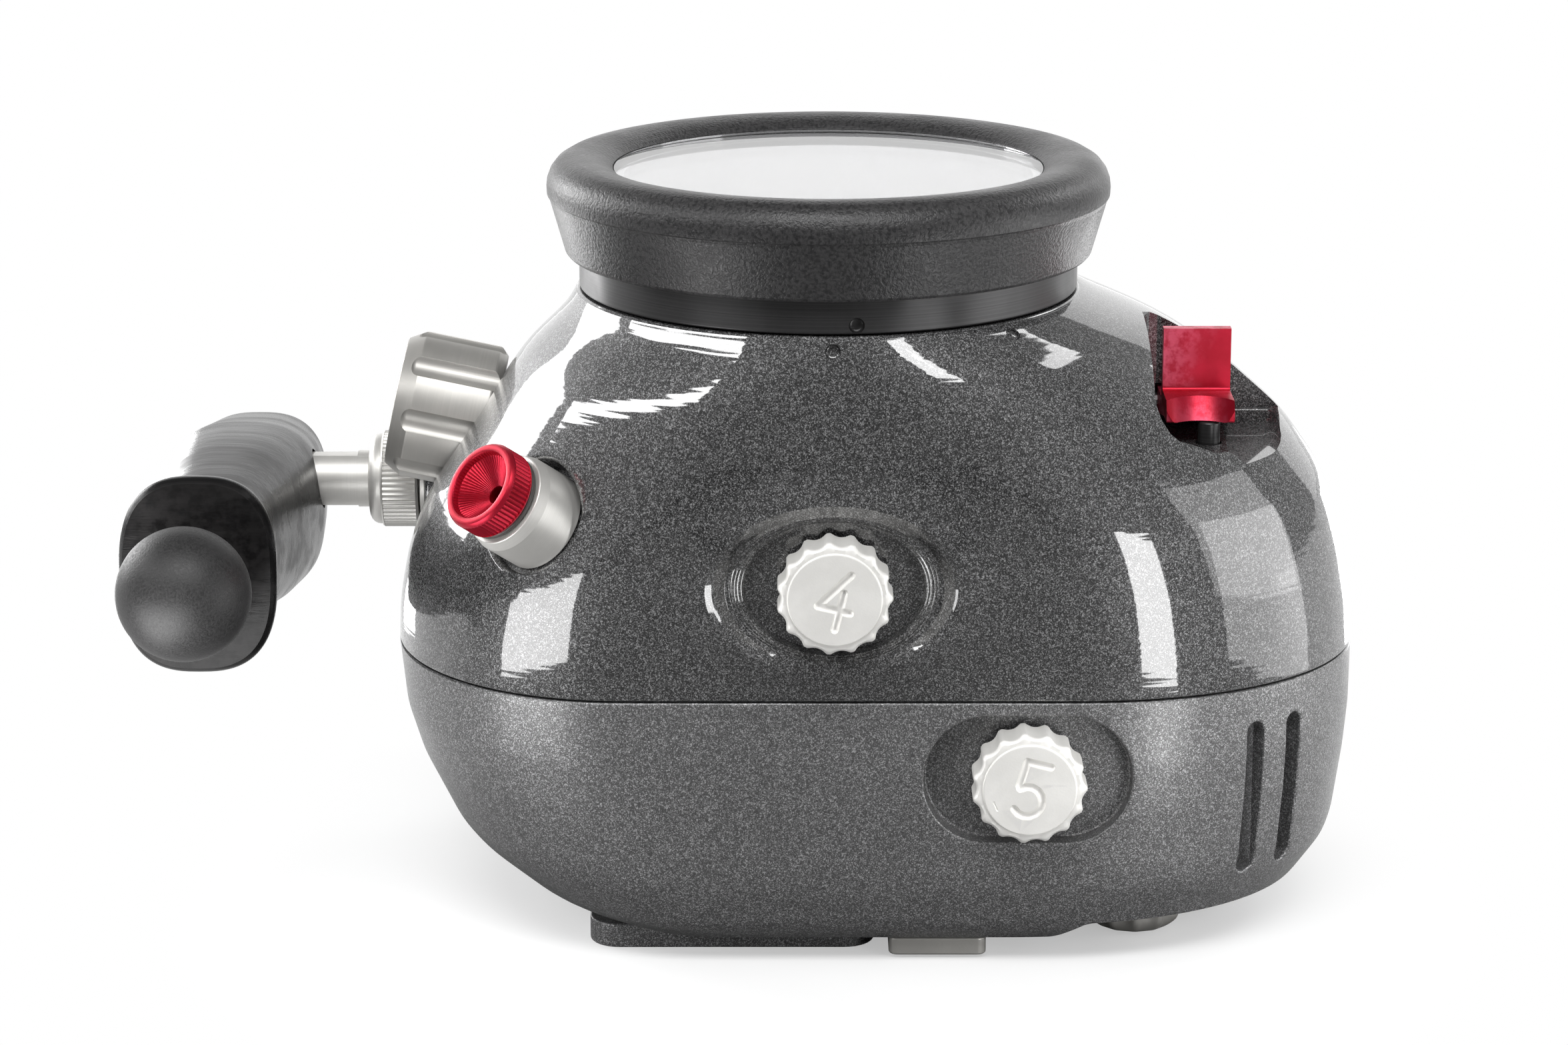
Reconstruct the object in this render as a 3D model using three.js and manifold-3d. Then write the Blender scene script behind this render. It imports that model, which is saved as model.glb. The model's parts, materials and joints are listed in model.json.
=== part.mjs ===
// Underwater camera housing, lying on its rear face.
// Millimetres. +Z is the optical axis, -Y the camera's top side, +X the photographer's right.
// The origin is the foot of the port axis on the plane that the rear rests on.

import * as THREE from 'three';
import { mergeVertices } from 'three/addons/utils/BufferGeometryUtils.js';
import Module from 'manifold-3d';

const wasm = await Module();
wasm.setup();

// Smoothness of round work
const turnSides = 36;
const midSides = 24;
const smallSides = 12;
const tinySides = 8;
const cornerSteps = 6;
const sealSides = 4;
const capSteps = 3;
const coarseArc = 1.5;
const midArc = 3;
const weld = 0.0001;

// Fits
const fit = 0.3;
const overrun = 4;

// Body
const rearDepth = 54.5;
const frontDepth = 70.5;
const leftHalf = 86;
const rightHalf = 105.2;
const topHalf = 53.2;
const baseHalf = 55;
const neckRadius = 49.7;
const faceBulge = 2.2;
const wall = 5.5;
const rimWidth = 9.5;
const rimHeight = 8;
const floorThickness = 5.4;
const roofDrop = 8;
const frameProud = 4.6;

// Port neck and bayonet
const neckBore = 44;
const sleeveDepth = 22;
const channelRadius = 47.2;
const channelTop = 3.5;
const channelHeight = 4;
const lugHeight = 3;
const lugArc = THREE.MathUtils.degToRad(34);
const lugSlotArc = THREE.MathUtils.degToRad(42);
const lugCount = 3;
const portTurn = THREE.MathUtils.degToRad(45);

// Port
const collarRadius = 49.2;
const collarHeight = 7;
const skirtHeight = 12;
const crownHeight = 7;
const shadeRadius = 55.4;
const shadeFoot = 51.8;
const openingRadius = 42.2;
const lipThickness = 1.2;
const glassRadius = 44.2;
const glassThickness = 5.8;
const glassBevel = 2.4;
const glassBevelDrop = 0.8;
const barrelWall = 3.6;
const barrelBelow = 19;
const sealDepth = 1.8;
const sealWidth = 2.4;
const sealRise = 5;
const portSealRadius = 0.85;

// Rotary controls
const knobRadius = 11;
const knobHeight = 8.8;
const knobChamfer = 1;
const knobDiscRadius = 8.9;
const knobDiscRise = 0.6;
const scallopDepth = 0.9;
const scallopCount = 15;
const shaftRadius = 2;
const glandRadius = 4.7;
const glandFlange = 6.5;
const glandFlangeHeight = 1;
const wheelThickness = 3.4;
const wheelRadius = 6.8;
const pocketWall = 4.5;
const shaftReach = 5;
const wheelGap = 0.8;

// Aperture control on the front half
const apertureX = 0.8;
const apertureRise = 22.5;
const apertureSink = 2.6;
const apertureFloor = topHalf - apertureSink;
const apertureOvalX = 17.2;
const apertureOvalZ = 12.9;
const apertureStepX = 23.6;
const apertureStepZ = 15.7;
const apertureStepDepth = 2.2;

// Speed control on the rear half
const speedX = 38;
const speedDrop = 15.4;
const speedSink = 3.8;
const speedFloor = topHalf - speedSink;
const speedHalfWidth = 20;
const speedHalfHeight = 12.7;
const speedBossWall = 2;

// Zoom control
const zoomRadius = 14.9;
const zoomFaceRadius = 12.85;
const zoomLength = 20.4;
const zoomChamfer = 3.5;
const zoomFootChamfer = 1.6;
const zoomFluteRadius = 3.2;
const zoomFluteDepth = 1.25;
const zoomFluteStart = 1.4;
const zoomFlutes = 8;
const zoomBeyond = 1.3;
const zoomX = -leftHalf - zoomBeyond;
const zoomY = 15;
const zoomRise = 43.2;
const zoomTilt = THREE.MathUtils.degToRad(12);
const zoomPocketRadius = 15.7;
const zoomShaftReach = 9;
const zoomWheelGap = 2;

// Sync port
const syncInset = 19.8;
const syncX = syncInset - leftHalf;
const syncFromTop = 1.2;
const syncY = syncFromTop - topHalf;
const syncRise = 42.7;
const syncDirection = new THREE.Vector3(-0.638, -0.537, 0.552).normalize();
const plugRadius = 8.7;
const plugHeight = 5.7;
const plugFaceRadius = 8.2;
const plugMouth = 6.85;
const plugMouthDepth = 1.5;
const plugConeDepth = 3.4;
const plugHole = 2;
const plugSealHeight = 1.1;
const plugSealRadius = 8.4;
const plugStemRadius = 5;
const plugStemLength = 6;
const bushingRadius = 9.75;
const bushingChamfer = 2.2;
const bushingFaceRadius = 9.1;
const bushingLength = 18;
const bushingBore = 5.3;
const bushingSeat = 3.4;
const syncPocketGap = 1.35;
const syncContactLength = 6;
const syncBoss = 14.2;

// Shutter lever
const pocketInset = 39.9;
const pocketLeft = rightHalf - pocketInset;
const pocketWidth = 23.5;
const pocketRight = pocketLeft + pocketWidth;
const pocketForward = 13.6;
const pocketTop = topHalf - pocketForward;
const pocketBack = 0;
const pocketCorner = 5;
const pocketFillet = 3.6;
const pocketDepth = 28.5;
const pocketFloorRise = frontDepth - pocketDepth;
const leverWidth = 13.3;
const leverPlate = 2.5;
const leverPlateY = -9.3;
const leverTop = 21.3;
const padReach = 10.5;
const padThickness = 4.2;
const padRise = 4.7;
const padHollow = 3.4;
const hubRadius = 2.8;
const hubY = 3.4;
const hubRise = 4.2;
const pivotRadius = 1.25;
const pivotGrip = 4;
const plungerY = -16.2;
const plungerAside = 2;
const plungerHead = 2.2;
const plungerRadius = 1.2;
const plungerLength = 21;
const plungerWell = 2.6;
const plungerWellDepth = 5.4;
const plungerSkirt = 0.6;
const plungerGland = 3.4;
const plungerGlandFlange = 5;
const pocketSkin = 5.5;

// Return springs
const springWire = 0.35;
const springTurns = 3;
const springSteps = 6;
const springSides = 3;
const springGap = 0.3;

// Handle
const handleY = 34;
const handleRise = 21.9;
const handleSeatInset = 3.2;
const handleSeatX = leftHalf - handleSeatInset;
const handleBoss = 11.5;
const handleTilt = THREE.MathUtils.degToRad(-5);
const socketRadius = 8;
const socketFlange = 9.2;
const socketFlangeHeight = 1;
const socketLength = 11;
const handleBossDepth = 20;
const postRadius = 5.9;
const nutRadius = 10;
const nutLength = 7.8;
const nutCollarRadius = 9.4;
const nutCollarLength = 2.6;
const nutRounding = 1.5;
const gripOffset = 38.1;
const gripDrop = 6;
const gripNear = 79.3;
const gripFar = 36;
const gripHalfWidth = 15.2;
const gripHalfHeight = 19.1;
const coreWidth = 13;
const coreAbove = 15;
const coreBelow = 7;
const coreNearWall = 6;
const postIntoCore = 3.4;
const postSpigot = 3.4;
const capWidth = 18;
const capHeight = 26;
const capThickness = 3;
const ballDiameter = 25.4;
const ballStem = 6;
const ballStemLength = 5.2;
const ballSpigot = 4;

// Windows in the raised rear frame
const monitorWidth = 64;
const monitorHeight = 38;
const monitorX = -14;
const monitorY = 24;
const eyepieceWidth = 30;
const eyepieceHeight = 18;
const eyepieceX = -18;
const eyepieceY = -26;
const windowThickness = 3.6;
const windowMargin = 4;
const windowRing = 2;
const windowInset = 0.4;
const framePlateLeft = 50;
const framePlateRight = 22;
const framePlateBase = 47;
const framePlateMid = 12;
const frameBrowLeft = 47;
const frameBrowRight = 9;
const frameBrowTop = 40;
const frameCorner = 6;
const frameSink = 3;

// Thumb side of the rear face
const thumbWidth = 61.2;
const thumbStart = rightHalf - thumbWidth;
const thumbSlope = 6;
const thumbDrop = 3.9;
const thumbWall = 8;
const dialInset = 44.6;
const dialX = rightHalf - dialInset;
const dialFromTop = 26.2;
const dialY = dialFromTop - topHalf;
const dialRadius = 10;
const dialFaceRadius = 7.4;
const dialHeight = 5.6;
const dialScallops = 12;
const buttonRadius = 4.2;
const buttonHeight = 5;
const buttonProud = 3.9;
const buttonWellDepth = 3.5;
const buttonTravel = 2;
const buttonHollow = 3.3;
const buttonFace = 1.8;
const buttonStem = 1.3;
const buttonStemLength = 15.4;
const buttonClip = 2.4;
const buttonClipHeight = 0.8;
const buttonPitchX = 21;
const buttonPitchY = 16;
const buttonAside = 3.6;
const buttonX = dialX - buttonAside;
const buttonBelowDial = 23;
const buttonY = dialY + buttonBelowDial;

// Hinge
const hingeRadius = 4;
const hingeBore = 1.9;
const hingePinRadius = 1.5;
const hingeOffset = 4.5;
const hingeKnuckle = 14;
const hingeMiddle = 34;
const hingeX = 10;
const hingeWeb = 8;

// Closing screw
const lockX = 17;
const lockFromTop = 13.6;
const lockY = lockFromTop - topHalf;
const lockBlockLeft = 11.7;
const lockBlockWidth = 19;
const lockBlockFromTop = 7.2;
const lockBlockTop = topHalf - lockBlockFromTop;
const lockBlockDepth = 14;
const lockBlockThickness = 4.2;
const lockBlockCorner = 1.5;
const lockHeadRadius = 4.6;
const lockHeadHeight = 3.4;
const lockSlot = 1.4;
const lockShaft = 3;
const lockReach = 9;
const lockSocketGap = 0.8;
const lockBoss = 7;
const lockBossHeight = 14;

// Main seal
const grooveInset = 3.2;
const grooveWidth = 3.2;
const grooveDepth = 2.9;
const sealRadius = 1.25;

// Strap slots
const strapInset = 18.4;
const strapX = rightHalf - strapInset;
const strapFromTop = 12.8;
const strapY = strapFromTop - topHalf;
const strapNormal = new THREE.Vector3(0.63, -0.776, 0).normalize();
const strapSlotWidth = 4.1;
const strapPitch = 10.3;
const strapDepth = 7.4;
const strapBar = 3.3;
const strapLength = 31;
const strapBelowSeam = 7;
const strapBlock = 12;

// Tray and base
const trayLeftGap = 42;
const trayRightGap = 37.2;
const trayLeft = leftHalf - trayLeftGap;
const trayRight = rightHalf - trayRightGap;
const trayWidth = trayLeft + trayRight;
const trayHeight = 26;
const trayThickness = 3;
const trayX = (trayRight - trayLeft) / 2;
const trayFromBase = 18;
const trayY = baseHalf - trayFromBase;
const trayRise = 32;
const trayCorner = 5;
const trayFoot = 10;
const traySlotWidth = 30;
const traySlotHeight = 6.6;
const trayWindow = 20;
const screwRadius = 3.1;
const screwReach = 5;
const screwHead = 7;
const screwHeadHeight = 4.5;
const baseX = 10;
const baseWidth = 56;
const baseHeight = 26;
const baseProud = 3;
const baseRise = 27;
const insertRadius = 6;
const insertBore = 3.175;
const insertDepth = 8;
const insertBacking = 3;
const rimChamfer = 0.6;

// Places worked out from the sizes above
const seam = rearDepth;
const neckTop = seam + frontDepth;
const shadeFootZ = neckTop + collarHeight;
const shadeWideZ = shadeFootZ + skirtHeight;
const shadeTop = shadeWideZ + crownHeight;
const rearFace = frameProud;
const thumbFace = frameProud + thumbDrop;

// Materials
function finish(color, roughness, metalness) {
  return new THREE.MeshStandardMaterial({ color, roughness, metalness });
}
const lacquer = finish(0x2c2c2f, 0.3, 0.6);
const blackAnodised = finish(0x1f1e20, 0.4, 0.7);
const silver = finish(0xb9b5ad, 0.42, 0.85);
const redAnodised = finish(0xa8122a, 0.38, 0.6);
const rubber = finish(0x232225, 0.8, 0);
const gripFinish = finish(0x2f2c2e, 0.6, 0);
const steel = finish(0xa9a9ab, 0.35, 0.95);
const glass = finish(0xe6e8ea, 0.05, 0);
const polymer = finish(0x3a3a3c, 0.6, 0);

// Solids and meshes
function toSolid(geometry, frame) {
  const bare = geometry.index ? geometry.toNonIndexed() : geometry.clone();
  bare.deleteAttribute('normal');
  bare.deleteAttribute('uv');
  if (frame) bare.applyMatrix4(frame);
  const welded = mergeVertices(bare, weld);
  const corners = welded.index.array;
  const kept = [];
  for (let i = 0; i < corners.length; i += 3) {
    const [a, b, c] = [corners[i], corners[i + 1], corners[i + 2]];
    if (a !== b && b !== c && c !== a) kept.push(a, b, c);
  }
  return new wasm.Manifold(new wasm.Mesh({
    numProp: 3,
    vertProperties: new Float32Array(welded.attributes.position.array),
    triVerts: new Uint32Array(kept),
  }));
}

function toGeometry(solid) {
  const data = solid.getMesh();
  const geometry = new THREE.BufferGeometry();
  geometry.setAttribute('position', new THREE.BufferAttribute(data.vertProperties, 3));
  geometry.setIndex(new THREE.BufferAttribute(data.triVerts, 1));
  geometry.computeVertexNormals();
  return geometry;
}

function piece(name, solid, material) {
  const mesh = new THREE.Mesh(toGeometry(solid), material);
  mesh.name = name;
  return mesh;
}

function join(...solids) {
  return solids.reduce((whole, next) => whole.add(next));
}

function cut(solid, ...cutters) {
  return cutters.reduce((whole, next) => whole.subtract(next), solid);
}

// Frames whose +Z points outward from the housing
function frameAt(x, y, z, outward, upward) {
  const zAxis = outward.clone().normalize();
  const xAxis = new THREE.Vector3().crossVectors(upward, zAxis).normalize();
  const yAxis = new THREE.Vector3().crossVectors(zAxis, xAxis);
  return new THREE.Matrix4().makeBasis(xAxis, yAxis, zAxis).setPosition(x, y, z);
}
const axisX = new THREE.Vector3(1, 0, 0);
const axisY = new THREE.Vector3(0, 1, 0);
const axisZ = new THREE.Vector3(0, 0, 1);

// Revolve of a [radius, height] profile about +Z
function turned(profile, frame, sides = turnSides) {
  const geometry = new THREE.LatheGeometry(profile.map(([r, h]) => new THREE.Vector2(r, h)), sides);
  geometry.rotateX(Math.PI / 2);
  return toSolid(geometry, frame);
}

function rod(radius, bottom, top, frame, sides = smallSides) {
  return turned([[0, bottom], [radius, bottom], [radius, top], [0, top]], frame, sides);
}

function ring(inner, outer, bottom, top, frame, sides = turnSides) {
  return turned([[inner, bottom], [outer, bottom], [outer, top], [inner, top], [inner, bottom]], frame, sides);
}

function block(x0, x1, y0, y1, z0, z1, frame) {
  const geometry = new THREE.BoxGeometry(x1 - x0, y1 - y0, z1 - z0);
  geometry.translate((x0 + x1) / 2, (y0 + y1) / 2, (z0 + z1) / 2);
  return toSolid(geometry, frame);
}

// Extrusion of a shape along +Z
function extruded(shape, bottom, top, frame, curveSegments = 2) {
  const geometry = new THREE.ExtrudeGeometry(shape, { depth: top - bottom, bevelEnabled: false, curveSegments });
  geometry.translate(0, 0, bottom);
  return toSolid(geometry, frame);
}

function roundedBox(x0, x1, y0, y1, corner) {
  const shape = new THREE.Shape();
  shape.absarc(x1 - corner, y0 + corner, corner, -Math.PI / 2, 0);
  shape.absarc(x1 - corner, y1 - corner, corner, 0, Math.PI / 2);
  shape.absarc(x0 + corner, y1 - corner, corner, Math.PI / 2, Math.PI);
  shape.absarc(x0 + corner, y0 + corner, corner, Math.PI, 1.5 * Math.PI);
  shape.closePath();
  return shape;
}

function polygon(points) {
  return new THREE.Shape(points.map(([x, y]) => new THREE.Vector2(x, y)));
}

// Loft through closed rings of equal point count, lowest first
function lofted(rings) {
  const count = rings[0].length;
  const positions = [];
  const indices = [];
  for (const ringPoints of rings) {
    for (const point of ringPoints) positions.push(point.x, point.y, point.z);
  }
  for (let level = 0; level + 1 < rings.length; level++) {
    for (let i = 0; i < count; i++) {
      const a = level * count + i;
      const b = level * count + (i + 1) % count;
      indices.push(a, b, b + count, a, b + count, a + count);
    }
  }
  const caps = [[rings[0], 0, true], [rings[rings.length - 1], (rings.length - 1) * count, false]];
  for (const [ringPoints, start, facesDown] of caps) {
    const middle = positions.length / 3;
    const centre = ringPoints.reduce((sum, point) => sum.add(point), new THREE.Vector3()).divideScalar(count);
    positions.push(centre.x, centre.y, centre.z);
    for (let i = 0; i < count; i++) {
      const j = (i + 1) % count;
      if (facesDown) indices.push(middle, start + j, start + i);
      else indices.push(middle, start + i, start + j);
    }
  }
  const geometry = new THREE.BufferGeometry();
  geometry.setAttribute('position', new THREE.Float32BufferAttribute(positions, 3));
  geometry.setIndex(indices);
  return geometry;
}

// Outline of the body at one level: straight sides with elliptical corners, counter-clockwise
function outlineRing(level, inset, z) {
  const left = level.left - inset;
  const right = level.right - inset;
  const top = level.top - inset;
  const base = level.base - inset;
  const arcs = [
    { x: right, y: base, start: 0 },
    { x: -left, y: base, start: 1 },
    { x: -left, y: -top, start: 2 },
    { x: right, y: -top, start: 3 },
  ];
  const points = [];
  for (const arc of arcs) {
    const radiusX = Math.abs(arc.x) * level.corner;
    const radiusY = Math.abs(arc.y) * level.cornerDepth;
    const centreX = arc.x - Math.sign(arc.x) * radiusX;
    const centreY = arc.y - Math.sign(arc.y) * radiusY;
    for (let step = 0; step <= cornerSteps; step++) {
      const angle = (arc.start + step / cornerSteps) * Math.PI / 2;
      points.push(new THREE.Vector3(
        centreX + radiusX * Math.cos(angle), centreY + radiusY * Math.sin(angle), z));
    }
  }
  return points;
}

// Shares of the front half: height above the seam, growth from neck to half width on the
// left and right, and how much of each half width is corner
const frontShares = [
  [0, 1, 1, 0.535],
  [0.113, 0.992, 0.991, 0.54],
  [0.262, 0.937, 0.96, 0.55],
  [0.38, 0.848, 0.921, 0.57],
  [0.482, 0.733, 0.876, 0.6],
  [0.631, 0.532, 0.745, 0.66],
  [0.745, 0.395, 0.582, 0.74],
  [0.801, 0.325, 0.5, 0.79],
  [0.844, 0.255, 0.425, 0.83],
  [0.896, 0.14, 0.32, 0.89],
  [0.936, 0.066, 0.2, 0.94],
  [0.965, 0.028, 0.1, 0.97],
  [1, 0, 0, 1],
];

// Shares of the rear half: depth below the seam, left, right and top half widths, corner
const rearShares = [
  [0, 1, 1, 1, 0.535],
  [0.25, 0.984, 0.998, 1.008, 0.535],
  [0.431, 0.95, 0.99, 1.008, 0.54],
  [0.691, 0.872, 0.972, 0.998, 0.55],
  [0.772, 0.831, 0.96, 0.99, 0.56],
  [0.932, 0.709, 0.905, 0.945, 0.58],
  [0.976, 0.651, 0.875, 0.905, 0.59],
  [1, 0.61, 0.85, 0.875, 0.6],
];
const seamCornerShare = 0.95;
const neckCornerShare = 1;
const backCornerShare = 0.9;

function mix(a, b, share) {
  return a + (b - a) * share;
}

function readShares(table, share) {
  const last = table.length - 1;
  let row = 0;
  while (row < last - 1 && table[row + 1][0] < share) row++;
  const along = (share - table[row][0]) / (table[row + 1][0] - table[row][0]);
  return table[row].map((value, column) => mix(value, table[row + 1][column], along));
}

function frontLevel(height) {
  const [, left, right, corner] = readShares(frontShares, height / frontDepth);
  const share = height / frontDepth;
  const bulge = faceBulge * 4 * share * (1 - share);
  return {
    left: mix(neckRadius, leftHalf, left),
    right: mix(neckRadius, rightHalf, right),
    top: mix(neckRadius, topHalf, right) + bulge,
    base: mix(neckRadius, baseHalf, right) + bulge,
    corner,
    cornerDepth: mix(seamCornerShare, neckCornerShare, share),
  };
}

function rearLevel(depth) {
  const full = rearDepth - rearFace;
  const [, left, right, top, corner] = readShares(rearShares, depth / full);
  return {
    left: leftHalf * left,
    right: rightHalf * right,
    top: topHalf * top,
    base: baseHalf * top,
    corner,
    cornerDepth: mix(seamCornerShare, backCornerShare, depth / full),
  };
}

function frontOuter() {
  const rings = frontShares.map(([share]) => {
    const height = share * frontDepth;
    return outlineRing(frontLevel(height), 0, seam + fit / 2 + height - share * fit / 2);
  });
  return toSolid(lofted(rings));
}

function rearOuter() {
  const full = rearDepth - rearFace;
  const rings = rearShares.map(([share]) => {
    const depth = share * full;
    return outlineRing(rearLevel(depth), 0, seam - fit / 2 - depth + share * fit / 2);
  });
  return toSolid(lofted(rings.reverse()));
}

// Inner space of the front half: a rim round the seam, then a wall of even thickness
const frontCavityShares = [0.22, 0.42, 0.58, 0.72, 0.84, 1];
function frontCavity() {
  const roof = frontDepth - roofDrop;
  const rings = [
    outlineRing(frontLevel(0), rimWidth, seam - overrun),
    outlineRing(frontLevel(rimHeight), rimWidth, seam + rimHeight),
  ];
  for (const share of frontCavityShares) {
    const height = share * roof;
    rings.push(outlineRing(frontLevel(height), wall, seam + height));
  }
  return toSolid(lofted(rings));
}

const rearCavityShares = [0.3, 0.55, 0.8, 0.93];
function rearCavity() {
  const deepest = rearDepth - rearFace - floorThickness;
  const rings = [
    outlineRing(rearLevel(0), rimWidth, seam + overrun),
    outlineRing(rearLevel(rimHeight), rimWidth, seam - rimHeight),
  ];
  for (const share of rearCavityShares) {
    const depth = share * deepest;
    rings.push(outlineRing(rearLevel(depth), wall, seam - depth));
  }
  rings.push(outlineRing(rearLevel(deepest), wall + pocketWall, seam - deepest));
  return toSolid(lofted(rings.reverse()));
}

// Bayonet: sectors of a ring, for the lugs and for their entry slots
function sector(inner, outer, middleAngle, arc, bottom, top) {
  const shape = new THREE.Shape();
  shape.absarc(0, 0, outer, middleAngle - arc / 2, middleAngle + arc / 2, false);
  shape.absarc(0, 0, inner, middleAngle + arc / 2, middleAngle - arc / 2, true);
  shape.closePath();
  return extruded(shape, bottom, top);
}

function lugAngles(turn) {
  return Array.from({ length: lugCount }, (_, i) => Math.PI / 2 + i * 2 * Math.PI / lugCount + turn);
}

// Round bar tilted so that its +Z runs along a world axis
function alongX(y, z) {
  return frameAt(0, y, z, axisX, axisZ);
}

// Coil spring along +Z, as one closed tube
function coilSpring(radius, bottom, top) {
  const rings = [];
  const steps = springTurns * springSteps;
  const pitch = (top - bottom - 2 * springWire) / springTurns;
  for (let i = 0; i <= steps; i++) {
    const angle = i / springSteps * 2 * Math.PI;
    const height = bottom + springWire + pitch * i / springSteps;
    const out = new THREE.Vector3(Math.cos(angle), Math.sin(angle), 0);
    const centre = out.clone().multiplyScalar(radius).setZ(height);
    const points = [];
    for (let k = 0; k < springSides; k++) {
      const turn = k / springSides * 2 * Math.PI;
      points.push(centre.clone()
        .addScaledVector(out, springWire * Math.cos(turn))
        .addScaledVector(axisZ, springWire * Math.sin(turn)));
    }
    rings.push(points.reverse());
  }
  return lofted(rings);
}

// Places across one scallop and the depth there
const scallopShares = [[0.12, 0], [0.38, 0.75], [0.62, 0.75], [0.88, 0]];

// Frames of the controls
const apertureFrame = frameAt(apertureX, -apertureFloor, seam + apertureRise, axisY.clone().negate(), axisZ);
const speedFrame = frameAt(speedX, -speedFloor, seam - speedDrop, axisY.clone().negate(), axisZ);
const dialFrame = frameAt(dialX, dialY, thumbFace, axisZ.clone().negate(), axisY);
const zoomOutward = new THREE.Vector3(-Math.cos(zoomTilt), 0, Math.sin(zoomTilt));
const zoomStandoff = glandFlangeHeight + 3 * fit;
const zoomSeat = new THREE.Vector3(zoomX, zoomY, seam + zoomRise)
  .addScaledVector(zoomOutward, -zoomLength - zoomStandoff);
const zoomFrame = frameAt(zoomSeat.x, zoomSeat.y, zoomSeat.z, zoomOutward, axisY);
const bushingTop = plugHeight + plugSealHeight + fit;
const syncFace = new THREE.Vector3(syncX, syncY, seam + syncRise);
const syncBack = syncFace.clone().addScaledVector(syncDirection, -bushingTop);
const syncFrame = frameAt(syncBack.x, syncBack.y, syncBack.z, syncDirection, axisZ);
const handleFrame = frameAt(-handleSeatX, handleY, seam + handleRise, axisX.clone().negate(), axisZ);
const strapFrame = frameAt(strapX, strapY, seam - strapBelowSeam, axisZ, strapNormal);

// Gland, shaft, knob and drive wheel of one rotary control.
// Local heights: 0 is the outer face of the wall, negative is inside.
function rotaryControl(name, group, size) {
  const inside = -size.wall;
  const knobFoot = glandFlangeHeight + 3 * fit;
  const gland = join(
    ring(shaftRadius + fit, glandRadius, inside - fit, fit, null, smallSides),
    ring(shaftRadius + fit, glandFlange, fit, fit + glandFlangeHeight, null, smallSides));
  const shaftTop = knobFoot + size.height / 2;
  const shaftEnd = inside - size.reach;
  const wheelTop = inside - size.gap;
  const shaft = join(
    rod(shaftRadius, shaftEnd, shaftTop, null, tinySides),
    rod(shaftRadius + fit * 2, shaftEnd - fit, wheelTop - wheelThickness - fit, null, tinySides));
  const wheel = ring(shaftRadius + fit, wheelRadius, wheelTop - wheelThickness, wheelTop, null, smallSides);
  const socket = rod(shaftRadius + fit, knobFoot - overrun, shaftTop + fit, null, smallSides);
  group.add(
    piece(`${name}_gland`, gland, steel),
    piece(`${name}_shaft`, shaft, steel),
    piece(`${name}_knob`, cut(size.knob(knobFoot), socket), silver),
    piece(`${name}_drive_wheel`, wheel, rubber));
}

function glandBore(wallDepth, frame) {
  return rod(glandRadius + fit, -wallDepth - overrun, overrun, frame);
}

// One level of a scalloped knob: crests at the radius, one hollow between two crests
function scallopRing(radius, count, depth, z) {
  const points = [];
  for (let i = 0; i < count; i++) {
    for (const [share, drop] of scallopShares) {
      const angle = (i + share) / count * 2 * Math.PI;
      const reach = radius - depth * drop;
      points.push(new THREE.Vector3(reach * Math.cos(angle), reach * Math.sin(angle), z));
    }
  }
  return points;
}

// Scalloped knob with a chamfered edge and a raised disc
function scallopedKnob(radius, faceRadius, height, disc, count) {
  return (foot) => {
    const top = foot + height;
    const body = toSolid(lofted([
      scallopRing(radius, count, scallopDepth, foot),
      scallopRing(radius, count, scallopDepth, top - disc.bevel - disc.rise),
      scallopRing(faceRadius, count, disc.hollow, top - disc.rise),
    ]));
    return join(body, rod(disc.radius, top - disc.rise - knobChamfer, top, null, midSides));
  };
}
const plainDisc = {
  radius: knobDiscRadius, rise: knobDiscRise, bevel: knobChamfer, hollow: scallopDepth / 2,
};

// Zoom knob: chamfered drum with round-ended flutes
function flutedKnob(foot) {
  const top = foot + zoomLength;
  const body = turned([
    [0, foot], [zoomRadius - zoomFootChamfer, foot], [zoomRadius, foot + zoomFootChamfer],
    [zoomRadius, top - zoomChamfer], [zoomFaceRadius, top], [0, top],
  ], null, turnSides);
  const cutters = [];
  for (let i = 0; i < zoomFlutes; i++) {
    const angle = i / zoomFlutes * 2 * Math.PI;
    const reach = zoomRadius + zoomFluteRadius - zoomFluteDepth;
    const length = zoomLength - zoomFluteStart;
    const capsule = new THREE.CapsuleGeometry(zoomFluteRadius, length, capSteps, tinySides);
    capsule.rotateX(Math.PI / 2);
    const middle = foot + (zoomLength - zoomFluteStart) / 2 - zoomFluteRadius;
    capsule.translate(reach * Math.cos(angle), reach * Math.sin(angle), middle);
    cutters.push(toSolid(capsule));
  }
  return cut(body, ...cutters);
}

// Oval or stadium recess in the face that looks to -Y
function ovalRecess(halfWidth, halfHeight, bottom, frame) {
  const shape = new THREE.Shape();
  shape.absellipse(0, 0, halfWidth, halfHeight, 0, 2 * Math.PI);
  return extruded(shape, bottom, bottom + faceBulge + overrun * 2, frame, turnSides / 4);
}

function stadiumRecess(halfWidth, halfHeight, bottom, frame) {
  const shape = roundedBox(-halfWidth, halfWidth, -halfHeight, halfHeight, halfHeight - weld);
  return extruded(shape, bottom, bottom + faceBulge + overrun * 2, frame, midSides / 8);
}

// Levels of the shutter pocket
const pocketFloor = seam + pocketFloorRise;
const leverLeft = pocketLeft + 2 * fit;
const leverRight = leverLeft + leverWidth;
const hubZ = pocketFloor + hubRise;
const padBottom = pocketFloor + padRise;
const plungerTop = padBottom - fit;
const plungerSeat = pocketFloor - plungerWellDepth;
const plungerX = (leverLeft + leverRight) / 2 + plungerAside;
const plungerHeadFoot = pocketFloor - plungerSkirt;

// Plan of the finger pocket: shares across from its left wall and forward from its back wall
const pocketShares = [
  [0, 0], [0, 1], [0.4, 0.9], [0.66, 0.845], [0.9, 0.76], [0.99, 0.62], [1, 0],
];

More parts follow.
